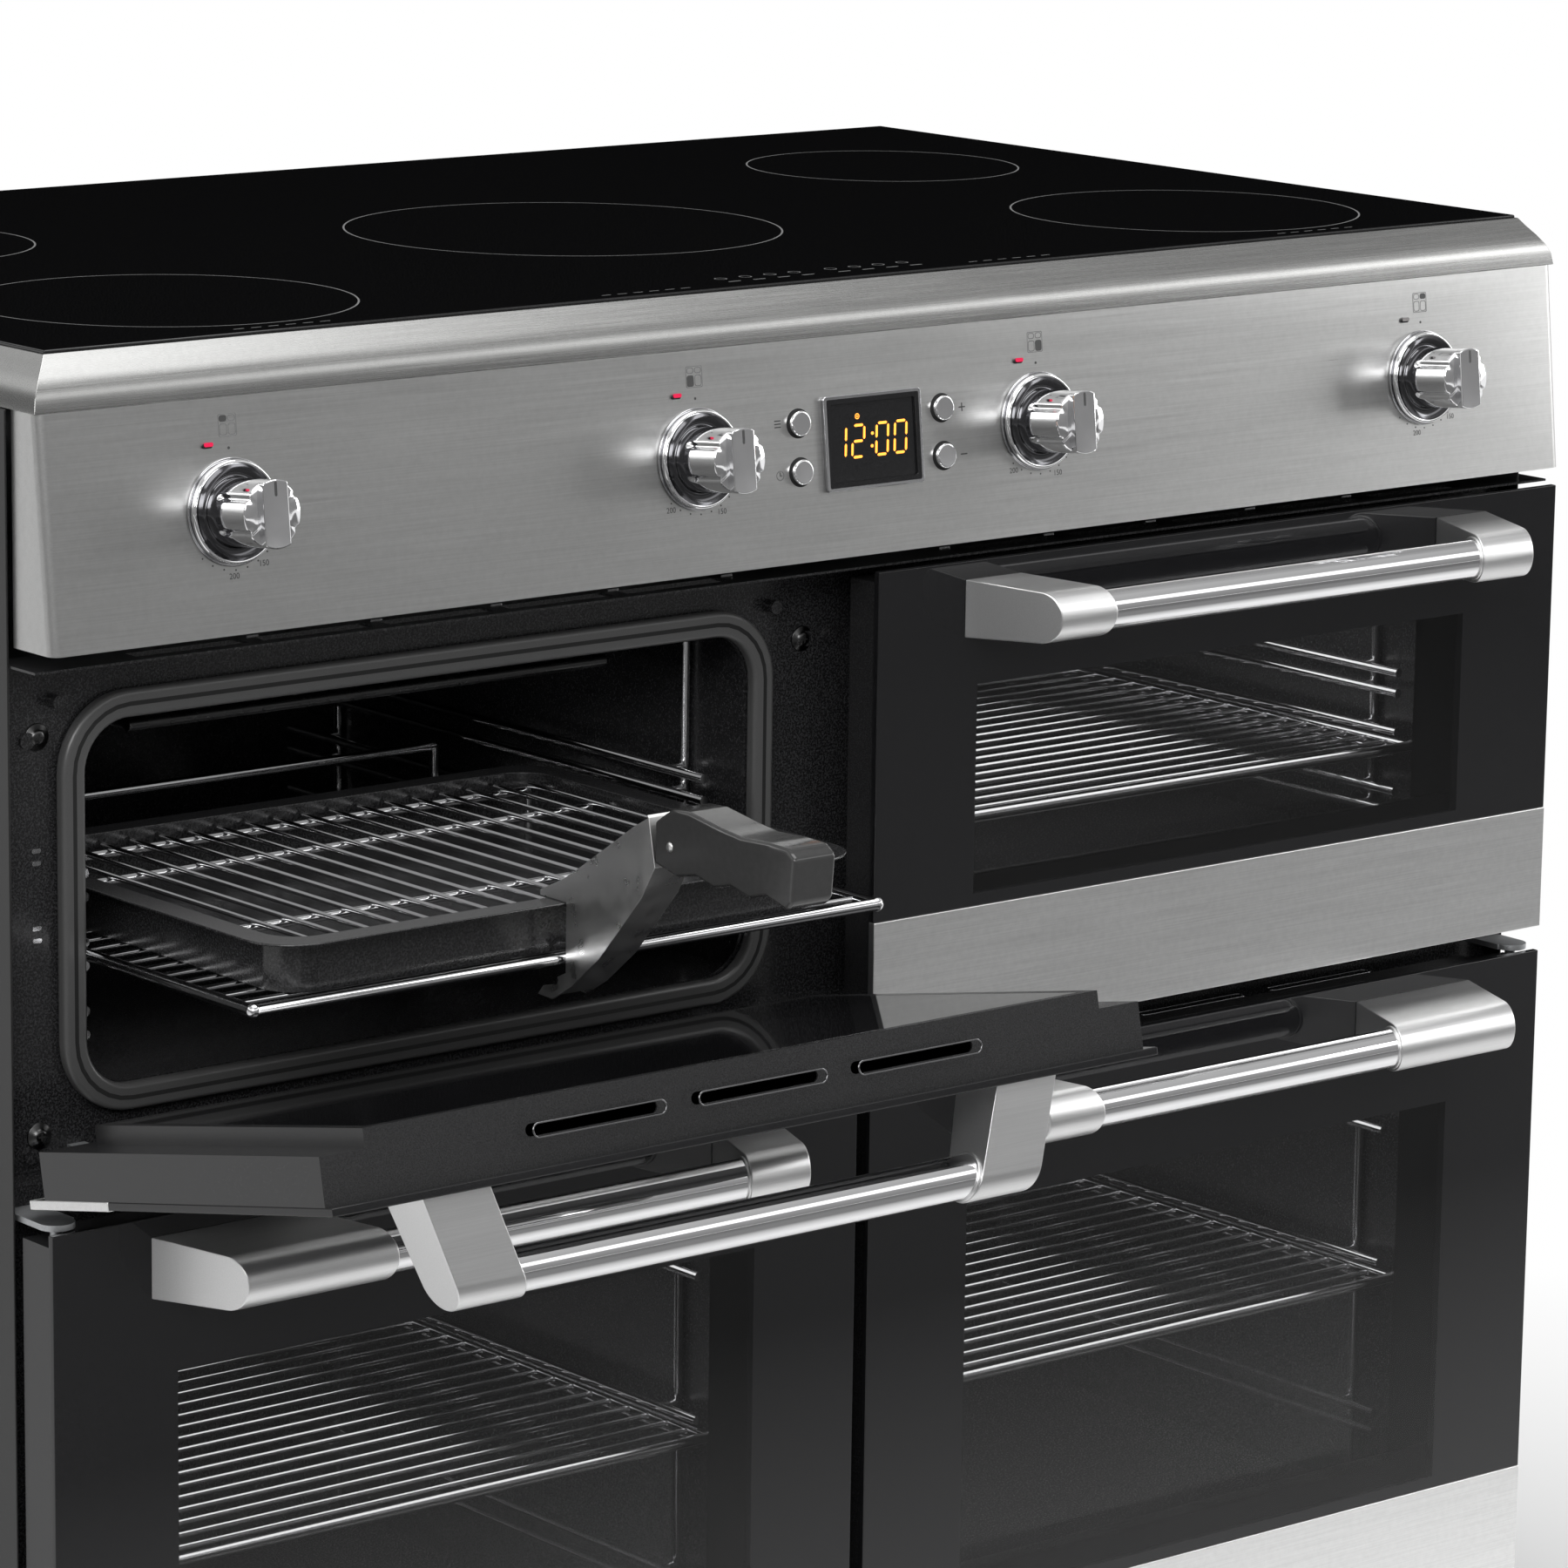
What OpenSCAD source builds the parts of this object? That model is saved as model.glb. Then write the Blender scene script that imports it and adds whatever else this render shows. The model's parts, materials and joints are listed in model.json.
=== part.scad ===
// Induction range cooker with four ovens, photographed with its grill door open.
// Lengths are millimetres, X right, Y back from the doors' glass, Z up from the floor.

/* [Cooker] */
// Overall width of the body, side panel to side panel
body_w = 1000; // [980:1:1020]
// Height of the glass hob above the floor
hob_h = 900; // [890:1:915]
// Depth from the doors' glass to the back of the body
body_d = 580; // [560:1:600]
// Thickness of the sheet steel
sheet = 1.2; // [1:0.1:1.5]
// Height of the feet
foot_h = 20; // [16:1:26]
// Height of the recessed plinth
plinth_h = 84; // [76:1:90]

/* [Hob] */
// Height of the rounded steel trim
trim_h = 27; // [24:0.5:30]
// Thickness of the hob glass
hob_glass_t = 4; // [3:0.5:5]
// Radius of the induction coils
coil_r = 88; // [70:1:92]

/* [Control panel] */
// Height of the panel
panel_h = 112; // [108:1:116]
// How far the top of the panel lies behind its bottom edge
panel_lean = 12; // [8:1:14]
// Distance of the outer knobs from the middle
knob_far = 392.5; // [380:0.5:400]
// Distance of the inner knobs from the middle
knob_near = 112.7; // [105:0.5:120]
// Radius of the knob's skirt
skirt_r = 24.8; // [22:0.2:26]
// Radius of the knob's body
knob_r = 16.6; // [14:0.2:18]
// How far a knob stands out of the panel
knob_out = 37.5; // [34:0.5:42]
// Radius of the clock's buttons
button_r = 6.4; // [5:0.1:7]

/* [Doors] */
// Height of the two upper doors
up_door_h = 252.4; // [246:0.4:258]
// Half of the gap between left and right doors
half_gap = 4.4; // [3:0.2:6]
// Gap between the upper doors and the panel
panel_gap = 10.8; // [9:0.2:14]
// Gap between the upper and the lower doors
door_split = 14.2; // [12:0.2:16]
// Height of the steel band along a door's bottom edge
band_h = 68.6; // [60:0.2:72]
// Thickness of the outer glass
glass_t = 4; // [3:0.5:5]
// How far the drop-down doors open
open_angle = 78.2; // [70:0.2:80]
// Radius of a door's bar handle
bar_r = 10.75; // [8:0.25:11.5]
// How far the handle stands off the glass
standoff = 55.5; // [50:0.5:56]

/* [Grill and shelves] */
// How far the grill shelf stands out of its oven
shelf_out = 128; // [110:1:128]
// Thickness of a shelf's outer wire
wire_d = 6; // [5:0.5:7]
// Thickness of a shelf's inner wires
thin_d = 3; // [2.5:0.5:4]
// Height of the grill pan
pan_h = 27; // [20:1:30]
// Inner wires on each shelf
shelf_wires = 21; // [15:1:23]

/* [Hidden] */
$fn = 32;
wire_fn = 13;
eps = 0.5;
seat = 0.3;
fit = 0.08;

// Body levels
half_w = body_w / 2;
in_w = half_w - sheet;
low_low = foot_h + plinth_h + 6;
panel_top = hob_h - trim_h;
panel_low = panel_top - panel_h;
up_top = panel_low - panel_gap;
up_low = up_top - up_door_h;
low_top = up_low - door_split;
low_door_h = low_top - low_low;
frame_low = low_low - 6;
frame_y = 44;
frame_t = 2;
ledge_y = 9;
ledge_z = up_top + 2.3;
side_y = 31;
back_in = body_d - sheet;
plinth_y = 60;

// Door levels, from the door's bottom edge and from the cooker's middle
door_edge = half_w - 2;
tray_in = half_gap + 3.6;
tray_out = door_edge - 0.6;
tray_d = 27;
plug_d = 36;
tray_low = 13;
tray_drop = 6.4;
plug_in = 33.5;
plug_out = half_w - 27.5;
plug_low = 25;
pane_in = 40;
pane_out = half_w - 34;
pane_low = 32;
pane_drop = 13;
pane_t = 3;
pane_lip = 9;
band_t = 0.6;
hinge_y = 12.5;
hinge_z = 9.6;
pin_r = 3;
arm_r = 6;
arm_half = 5;
arm_in = 54;
arm_out = half_w - 44;
lug_t = 3;
notch_half = arm_half + 4.2;
notch_top = 18.5;
side_axis = half_w - 12;
boss_r = 7;
boss_l = 20;
hanger_t = 3;

// Cavities
seal_in = 33.7;
seal_out = half_w - 33.7;
seal_low = 28.9;
seal_drop = 18.1;
seal_w = 13.3;
seal_y = plug_d + seat;
seal_r = 38;
open_r = seal_r - seal_w;
cav_in = seal_in + seal_w;
cav_out = seal_out - seal_w;
cav_back = body_d - 100;
cav_mid = (cav_in + cav_out) / 2;
up_z0 = up_low + seal_low + seal_w;
up_z1 = up_top - seal_drop - seal_w;
low_z0 = low_low + seal_low + seal_w;
low_z1 = low_top - seal_drop - seal_w;

// Shelves
rail_off = 13.6;
shelf_in = cav_in + 11.6;
shelf_outer = cav_out - 11.6;
shelf_home = 48;
shelf_deep = cav_back - 120;
up_shelf_z = up_low + 102.7;
low_shelf_z = low_low + 180;
rack_r = 2.5;
rail_drop = wire_d / 2 + rack_r + seat;
fence_h = 22;
fence_in = 10;
pan_z = up_shelf_z + thin_d / 2;
pan_top = pan_z + pan_h;
pan_mid = cav_mid;
pan_side = 13.4;
pan_half = (shelf_outer - shelf_in) / 2 - pan_side;
pan_front = shelf_home - shelf_out - 5;
pan_back = pan_front + 275;
rim_w = 13.5;
rail_front = shelf_home - shelf_out;
rack_wires = 17;
leg_r = 2.2;
rack_gap = 8.3;
rack_side = 6.3;
rack_drop = 9;
rack_z = pan_top - rack_drop;
rack_half = pan_half - rim_w - sheet - rack_side;
rack_front = pan_front + rim_w + sheet + rack_gap;
rack_back = pan_back - rim_w - sheet - rack_gap;
rack_step = 53;
wire_over = 6;
wire_weld = 0.7;

// Pan handle
plate_off = 11;
plate_t = 1.6;
grip_half = 12.5;
grip_end = rail_front - 179;
tang_half = 2;
tang_root = 71;
tang_end = 106;
tang_z = 63;
tang_h = 12;

// Handles
bracket_h = 30.5;
nose_r = 13.4;
handle_drop = 24.7;
bracket_in = 62.6;
bracket_out = half_w - 57.2;
bracket_w = 38.2;
bracket_long = 87.6;
slant = 0.33;
bar_y = 43 - 55.5 + standoff;
socket = 16;

// Control panel
lean = atan(panel_lean / panel_h);
panel_y0 = -3.5;
panel_half = half_w - 3;
bend_r = 5.5;
knob_v = panel_h * 0.52;
clock_w = 64.4;
clock_h = 48.6;
clock_rim = 4;
spindle_r = 3;
spindle_in = 20;
switch_half = 18;
switch_d = 24;
timer_half = 60;
timer_d = 22;
stem_r = 2.5;

// The whole part is set back so that its footprint is centred on the origin
y_mid = (body_d + grip_end) / 2;

module place() {
  translate([0, -y_mid, 0]) children();
}

module box(a, b) {
  translate(a) cube(b - a);
}

module rod_x(x0, x1, y, z, r) {
  translate([x0, y, z]) rotate([0, 90, 0]) cylinder(r = r, h = x1 - x0);
}

module rod_y(y0, y1, x, z, r) {
  translate([x, y0, z]) rotate([-90, 0, 0]) cylinder(r = r, h = y1 - y0);
}

module rod_z(z0, z1, x, y, r) {
  translate([x, y, z0]) cylinder(r = r, h = z1 - z0);
}

module left() {
  mirror([1, 0, 0]) children();
}

module both() {
  children();
  mirror([1, 0, 0]) children();
}

module slab(y0, y1) {
  translate([0, y1, 0]) rotate([90, 0, 0]) linear_extrude(height = y1 - y0) children();
}

module along_x(x0, x1) {
  translate([x0, 0, 0]) rotate([90, 0, 90]) linear_extrude(height = x1 - x0) children();
}

module round_rect(x0, y0, x1, y1, r) {
  translate([x0 + r, y0]) square([x1 - x0 - 2 * r, y1 - y0]);
  translate([x0, y0 + r]) square([x1 - x0, y1 - y0 - 2 * r]);
  for (x = [x0 + r, x1 - r])
    for (y = [y0 + r, y1 - r])
      translate([x, y]) circle(r);
}

// Runs its children in the panel's own space: Y into the panel, Z up its slope
module on_panel(x, v) {
  place()
    translate([x, panel_y0 + v * sin(lean), panel_low + v * cos(lean)])
      rotate([-lean, 0, 0])
        children();
}

module grill_door_space() {
  place()
    translate([0, hinge_y, up_low + hinge_z])
      rotate([open_angle, 0, 0])
        translate([0, -hinge_y, -hinge_z])
          left() children();
}

module top_door_space() {
  place() translate([0, 0, up_low]) children();
}

module right_door_space() {
  place() translate([0, 0, low_low]) children();
}

module left_door_space() {
  place() translate([0, 0, low_low]) left() children();
}

// Body shell
module side_panels() {
  color("dimgray")
    place()
      both()
        box([in_w, side_y, foot_h], [half_w, body_d, panel_top]);
}

module back_panel() {
  color("silver")
    place()
      difference() {
        box([-in_w, back_in, foot_h], [in_w, body_d, panel_top]);
        for (x = [-300:60:300])
          for (z = [panel_low - 30, panel_low + 10])
            slab(back_in - eps, body_d + eps) round_rect(x - 20, z, x + 20, z + 12, 5.9);
        rod_y(back_in - eps, body_d + eps, gland_x, gland_z, gland_r);
      }
}

gland_x = half_w - 120;
gland_z = 250;
gland_r = 14;
box_half = 60;
box_d = 50;

module base_tray() {
  color("silver")
    place()
      difference() {
        union() {
          box([-in_w, plinth_y + sheet, foot_h], [in_w, back_in, foot_h + sheet]);
          box([-in_w, back_in - sheet, foot_h + sheet], [in_w, back_in, foot_h + 30]);
        }
        for (x = [-320:80:320])
          box([x - 25, 300, foot_h - eps], [x + 25, 312, foot_h + sheet + eps]);
      }
}

module plinth() {
  color("dimgray")
    place() {
      box([-in_w, plinth_y, foot_h], [in_w, plinth_y + sheet, frame_low]);
      box([-in_w, frame_y + frame_t, frame_low - sheet], [in_w, plinth_y, frame_low]);
    }
}

module feet() {
  color("black")
    place()
      both()
        for (y = [plinth_y + 40, body_d - 50]) {
          rod_z(0, 8, half_w - 50, y, 20);
          rod_z(8, foot_h, half_w - 50, y, 9);
        }
}

// Vent slots sit between the ribs of the ledge under the panel
vent_pitch = 73;
vent_x0 = 82;
vent_w = 64;

module front_frame() {
  color("black")
    place()
      difference() {
        union() {
          box([-in_w, frame_y, frame_low], [in_w, frame_y + frame_t, ledge_z]);
          box([-in_w, ledge_y, ledge_z - sheet], [in_w, frame_y, ledge_z]);
          both() {
            rod_y(frame_y - 2, frame_y, half_w - 18, up_z1 - 6, 4);
            rod_y(frame_y - 2, frame_y, half_w - 18, up_low + 13.2, 4);
            rod_y(frame_y - 2, frame_y, 8.1, up_z1 - 7.8, 4);
            rod_y(seal_y, frame_y, seal_out + 1.5, up_top - seal_drop - 1.5, 3.5);
            rod_y(seal_y, frame_y, seal_in - 0.5, up_top - seal_drop - 1.5, 3.5);
          }
        }
        both() {
          slab(frame_y - eps, frame_y + frame_t + eps) {
            round_rect(cav_in, up_z0, cav_out, up_z1, open_r);
            round_rect(cav_in, low_z0, cav_out, low_z1, open_r);
          }
          for (n = [0:4])
            box([vent_x0 + n * vent_pitch, 16, ledge_z - sheet - eps],
              [vent_x0 + n * vent_pitch + vent_w, 26, ledge_z + eps]);
        }
      }
}

module liner(z0, z1) {
  difference() {
    box([cav_in - sheet, frame_y + frame_t, z0 - sheet],
      [cav_out + sheet, cav_back + sheet, z1 + sheet]);
    box([cav_in, frame_y + frame_t - eps, z0], [cav_out, cav_back, z1]);
  }
}

module upper_liners() {
  color("dimgray") place() both() liner(up_z0, up_z1);
}

module lower_liners() {
  color("dimgray")
    place()
      both()
        difference() {
          liner(low_z0, low_z1);
          rod_y(cav_back - eps, cav_back + sheet + eps, cav_mid, fan_z, shaft_r + 2);
        }
}

module seal_ring(z0, z1) {
  slab(seal_y, frame_y)
    difference() {
      round_rect(seal_in, z0, seal_out, z1, seal_r);
      round_rect(cav_in, z0 + seal_w, cav_out, z1 - seal_w, open_r);
    }
}

module door_seals() {
  color("gray")
    place()
      both() {
        seal_ring(up_low + seal_low, up_top - seal_drop);
        seal_ring(low_low + seal_low, low_top - seal_drop);
      }
}

// One ladder rack: two uprights near the wall, and pairs of rails that a shelf slides between
module ladder(wall, inward, z0, z1, levels) {
  $fn = wire_fn;
  upright = wall + inward * (rack_r + seat);
  rail = wall + inward * rail_off;
  low_x = min(upright, rail);
  high_x = max(upright, rail);
  for (y = [rack_y0 + 30, rack_y1 - 30])
    rod_z(z0 + 12, z1 - 12, upright, y, rack_r);
  for (level = levels)
    for (z = [level, level + 2 * rail_drop]) {
      rod_y(rack_y0, rack_y1, rail, z, rack_r);
      for (y = [rack_y0 + 30, rack_y1 - 30])
        rod_x(low_x, high_x, y, z, rack_r, $fn = 12);
    }
}

rack_y0 = 60;
rack_y1 = cav_back - 50;
level_up = 34;
level_low = 90;

module side_racks() {
  color("silver")
    place()
      both() {
        up_rail = up_shelf_z - rail_drop;
        low_rail = low_shelf_z - rail_drop;
        ladder(cav_in, 1, up_z0, up_z1, [up_rail - level_up, up_rail, up_rail + level_up]);
        ladder(cav_out, -1, up_z0, up_z1, [up_rail - level_up, up_rail, up_rail + level_up]);
        ladder(cav_in, 1, low_z0, low_z1, [low_rail - level_low, low_rail, low_rail + level_low]);
        ladder(cav_out, -1, low_z0, low_z1, [low_rail - level_low, low_rail, low_rail + level_low]);
      }
}

// Drop-down doors turn on pins in arms; side-hung doors on pins in plates
module drop_arm(x) {
  along_x(x - arm_half, x + arm_half)
    union() {
      translate([hinge_y, up_low + hinge_z]) circle(arm_r);
      translate([hinge_y, up_low + hinge_z - arm_r])
        square([frame_y - hinge_y, 2 * arm_r]);
    }
  rod_x(x - arm_half - lug_t - 0.8, x + arm_half + lug_t + 0.8, hinge_y, up_low + hinge_z, pin_r);
}

module side_hanger(z0, z1, pin0, pin1) {
  box([side_axis - 10, hinge_y, z0], [side_axis + 9, frame_y, z1]);
  rod_z(z0, z1, side_axis, hinge_y, 9);
  rod_z(pin0, pin1, side_axis, hinge_y, pin_r);
}

module door_hinges() {
  color("silver")
    place()
      both() {
        drop_arm(arm_in);
        drop_arm(arm_out);
        side_hanger(low_top + eps, low_top + eps + hanger_t,
          low_top - tray_drop - boss_l + 2, low_top + eps);
        side_hanger(low_low - eps - hanger_t, low_low - eps,
          low_low - eps, low_low + tray_low + boss_l - 2);
      }
}

fan_z = (low_z0 + low_z1) / 2;
fan_r = 70;
fan_d = 22;
shaft_r = 4;
cover_r = 92;
cover_y = cav_back - 34;
element_r = 3.2;

module heating_elements() {
  color("dimgray")
    place()
      both() {
        for (n = [0:5])
          rod_y(90, cav_back, cav_in + 60 + n * 57, up_z1 - 16, element_r);
        rod_x(cav_in + 60 - element_r, cav_in + 60 + 5 * 57 + element_r, 90, up_z1 - 16, element_r);
        translate([cav_mid, cav_back - 14, fan_z])
          rotate([90, 0, 0])
            rotate_extrude()
              translate([cover_r - 12, 0]) circle(element_r, $fn = 16);
        both_posts();
      }
}

module both_posts() {
  for (x = [cav_mid - 8, cav_mid + 8])
    rod_y(cav_back - 14, cav_back, x, fan_z - cover_r + 12, element_r);
}

module fan_covers() {
  color("dimgray")
    place()
      both()
        difference() {
          rod_y(cover_y, cav_back, cav_mid, fan_z, cover_r);
          rod_y(cover_y + sheet, cav_back + eps, cav_mid, fan_z, cover_r - sheet);
          for (n = [0:11])
            translate([cav_mid, 0, fan_z])
              rotate([0, n * 30, 0])
                slab(cover_y - eps, cover_y + sheet + eps)
                  round_rect(-5, 30, 5, 72, 4.9);
          for (n = [0:7])
            translate([cav_mid, 0, fan_z])
              rotate([0, n * 45, 0])
                box([-14, cover_y + 8, cover_r - 4], [14, cover_y + 26, cover_r + 4]);
        }
}

module fan_motors() {
  color("gray")
    place()
      both()
        difference() {
          union() {
            rod_y(cav_back + sheet, cav_back + 46, cav_mid, fan_z, 38);
            box([cav_mid - 55, cav_back + sheet, fan_z - 8],
              [cav_mid + 55, cav_back + sheet + 3, fan_z + 8]);
          }
          rod_y(cav_back, cav_back + 30, cav_mid, fan_z, shaft_r + fit);
        }
}

module impeller() {
  translate([cav_mid, 0, fan_z]) {
    rod_y(cav_back - 28, cav_back + 28, 0, 0, shaft_r);
    rod_y(cav_back - 8, cav_back - 6, 0, 0, fan_r);
    for (n = [0:8])
      rotate([0, n * 40, 0])
        rotate_blade();
  }
}

module rotate_blade() {
  box([-0.8, cav_back - fan_d, 22], [0.8, cav_back - 7, fan_r]);
}

module left_oven_fan() {
  color("silver") place() left() impeller();
}

module right_oven_fan() {
  color("silver") place() impeller();
}

// Hob
glass_y = 24;
rim_y = [8.5, 9.6, 12, 15.5, 19.8, 23];
rim_f = [0, 0.24, 0.42, 0.6, 0.785, 0.94];
tray_half = half_w - 27;

function rim_points(d) = [for (n = [0:5]) [rim_y[n] + d, panel_top + rim_f[n] * trim_h - d * 0.7]];

function side_points(d) = [for (n = [0:5])
  [door_edge - rim_y[n] + rim_y[0] - d, panel_top + rim_f[n] * trim_h - d * 0.7]];

trim_back = body_d - 8;
side_in = glass_y - rim_y[0];

// The bullnose runs along the front and both sides and is mitred at the corners
module trim_form(d) {
  high = panel_top + 0.94 * trim_h - d;
  intersection() {
    along_x(-half_w, half_w)
      polygon(concat(rim_points(d), [[glass_y + d, high], [trim_back, high],
        [trim_back, panel_top - 3 * d]], [[rim_y[0] + d, panel_top - 3 * d]]));
    slab(0, trim_back)
      polygon(concat(side_points(d), [[door_edge - side_in - d, high],
        [-door_edge + side_in + d, high]], [for (n = [5:-1:0]) [-side_points(d)[n][0], side_points(d)[n][1]]],
        [[-door_edge + d, panel_top - 3 * d], [door_edge - d, panel_top - 3 * d]]));
  }
}

module hob_trim() {
  under = hob_h - hob_glass_t;
  color("silver")
    place()
      difference() {
        trim_form(0);
        trim_form(1.4);
        box([-door_edge + side_in, glass_y, under], [door_edge - side_in, trim_back + 1, hob_h]);
        box([-door_edge + side_in + 9, glass_y + 12, panel_top - 9],
          [door_edge - side_in - 9, trim_back - 12, hob_h]);
      }
}

module hob_glass() {
  color("black")
    place()
      box([-door_edge + side_in + 0.2, glass_y + 0.2, hob_h - hob_glass_t],
        [door_edge - side_in - 0.2, trim_back - 1, hob_h]);
}

coil_x = half_w - 160;
coil_at = [[-coil_x, 140], [-coil_x, 400], [0, 270], [coil_x, 140], [coil_x, 400]];

module induction_units() {
  under = hob_h - hob_glass_t;
  color("gray")
    place() {
      box([-tray_half, 50, panel_top], [tray_half, body_d - 24, panel_top + sheet]);
      both()
        box([tray_half - sheet, 50, panel_top + sheet], [tray_half, body_d - 24, under]);
      for (at = coil_at) {
        rod_z(panel_top + sheet, under - 4, at[0], at[1], 10);
        difference() {
          rod_z(under - 6, under, at[0], at[1], coil_r);
          rod_z(under - 7, under + 1, at[0], at[1], 26);
        }
        rod_z(panel_top + sheet, under - 6, at[0] - 55, at[1], 6);
        rod_z(panel_top + sheet, under - 6, at[0] + 55, at[1], 6);
      }
    }
}

// Control panel, drawn in its own space so that its corner bends follow the slope
module panel_wrap(r) {
  linear_extrude(height = panel_h * 1.1)
    difference() {
      union() {
        translate([-panel_half + r, 0]) square([2 * panel_half - 2 * r, 60]);
        translate([-panel_half, r]) square([2 * panel_half, 60 - r]);
        translate([-panel_half + r, r]) circle(r);
        translate([panel_half - r, r]) circle(r);
      }
      union() {
        translate([-panel_half + r, sheet]) square([2 * panel_half - 2 * r, 60]);
        translate([-panel_half + sheet, r]) square([2 * panel_half - 2 * sheet, 60]);
        translate([-panel_half + r, r]) circle(r - sheet);
        translate([panel_half - r, r]) circle(r - sheet);
      }
    }
}

knob_at = [-knob_far, -knob_near, knob_near, knob_far];
lens_dx = -12;
lens_dv = 32;
lens_l = 6;
lens_h = 2.4;
button_x = 47.5;
button_dv = 12.3;
button_at = [
  [-button_x, knob_v + button_dv], [-button_x, knob_v - button_dv],
  [button_x, knob_v + button_dv], [button_x, knob_v - button_dv]
];
flange_half = panel_half - bend_r - 3;
flange_y = 30;

module control_panel() {
  color("lightgray")
    difference() {
      union() {
        intersection() {
          on_panel(0, -6) panel_wrap(bend_r);
          place() box([-half_w, -20, panel_low], [half_w, flange_y, panel_top]);
        }
        place() {
          box([-flange_half, panel_y0 + sheet / 2, panel_low],
            [flange_half, flange_y, panel_low + sheet]);
          box([-flange_half, panel_y0 + panel_lean + sheet / 2, panel_top - sheet],
            [flange_half, flange_y, panel_top]);
        }
      }
      for (x = knob_at) {
        on_panel(x, knob_v) rod_y(-eps, sheet + eps, 0, 0, 5);
        on_panel(x + lens_dx, knob_v + lens_dv) rod_y(-eps, sheet + eps, 0, 0, 1);
      }
      for (at = button_at)
        on_panel(at[0], at[1]) rod_y(-eps, sheet + eps, 0, 0, button_r + fit);
      on_panel(0, knob_v)
        box([-clock_w / 2 + 7, -eps, -clock_h / 2 + 7], [clock_w / 2 - 7, sheet + eps, clock_h / 2 - 7]);
    }
}

module panel_bezels() {
  color("silver") {
    for (x = knob_at)
      on_panel(x, knob_v)
        difference() {
          rod_y(-1.4, 0, 0, 0, skirt_r + 1);
          rod_y(-2, 1, 0, 0, 8);
        }
    on_panel(0, knob_v)
      slab(-2.4, 0)
        difference() {
          round_rect(-clock_w / 2, -clock_h / 2, clock_w / 2, clock_h / 2, 2);
          round_rect(-clock_w / 2 + clock_rim, -clock_h / 2 + clock_rim,
            clock_w / 2 - clock_rim, clock_h / 2 - clock_rim, 1);
        }
  }
}

module display_lenses() {
  color("black") {
    on_panel(0, knob_v)
      box([-clock_w / 2 + clock_rim + 0.1, -1.2, -clock_h / 2 + clock_rim + 0.1],
        [clock_w / 2 - clock_rim - 0.1, 0, clock_h / 2 - clock_rim - 0.1]);
    for (x = knob_at)
      on_panel(x + lens_dx, knob_v + lens_dv)
        slab(-0.7, 0)
          round_rect(-lens_l / 2, -lens_h / 2, lens_l / 2, lens_h / 2, lens_h / 2 - 0.01);
  }
}

module switch_bodies() {
  color("gray") {
    for (x = knob_at)
      on_panel(x, knob_v)
        difference() {
          box([-switch_half, sheet, -switch_half], [switch_half, switch_d, switch_half]);
          rod_y(sheet - eps, switch_d - 2, 0, 0, spindle_r + fit);
        }
    difference() {
      on_panel(0, knob_v) box([-timer_half, sheet, -30], [timer_half, timer_d, 30]);
      for (at = button_at) {
        on_panel(at[0], at[1]) rod_y(sheet - eps, 9, 0, 0, button_r + 0.4);
        on_panel(at[0], at[1]) rod_y(sheet - eps, 20, 0, 0, stem_r + fit);
      }
    }
  }
}

module terminal_box() {
  color("gray")
    place()
      difference() {
        union() {
          box([gland_x - box_half, back_in - box_d, gland_z - box_half],
            [gland_x + box_half, back_in, gland_z + box_half]);
          rod_y(back_in, body_d, gland_x, gland_z, gland_r - 0.1);
        }
        rod_y(back_in - 30, body_d + eps, gland_x, gland_z, 8);
      }
}

// Controls
groove_a = [31, -31, 149, -149];

module knob(x) {
  on_panel(x, knob_v) {
    rotate([90, 0, 0])
      rotate_extrude()
        polygon([[0, 1.8], [skirt_r, 1.8], [skirt_r, 3.6], [skirt_r - 1.2, 4.2],
          [knob_r + 1, 2.9], [knob_r + 1, 4], [0, 4]]);
    difference() {
      union() {
        rod_y(-knob_out + 3.5, -3.5, 0, 0, knob_r);
        intersection() {
          rod_y(-knob_out, -10, 0, 0, knob_r);
          box([-7.2, -knob_out, -knob_r], [7.2, -10, knob_r]);
        }
      }
      for (a = groove_a)
        rotate([0, a, 0])
          rod_y(-knob_out - 1, -10, knob_r + 1.4, 0, 2.4);
      box([-0.7, -knob_out - 1, knob_r - 9], [0.7, -knob_out + 0.5, knob_r - 1.5]);
    }
    rod_y(-2, spindle_in, 0, 0, spindle_r);
  }
}

module grill_knob() {
  color("silver") knob(-knob_far);
}

module left_oven_knob() {
  color("silver") knob(-knob_near);
}

module right_oven_knob() {
  color("silver") knob(knob_near);
}

module top_oven_knob() {
  color("silver") knob(knob_far);
}

module button(n) {
  at = button_at[n];
  on_panel(at[0], at[1]) {
    rotate([90, 0, 0])
      rotate_extrude()
        polygon([[0, -6.5], [button_r, -6.5], [button_r, 2.6], [button_r - 0.6, 3.2], [0, 3.2]]);
    rod_y(4, 16, 0, 0, stem_r);
  }
}

module function_button() {
  color("silver") button(0);
}

module clock_button() {
  color("silver") button(1);
}

module plus_button() {
  color("silver") button(2);
}

module minus_button() {
  color("silver") button(3);
}

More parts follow.
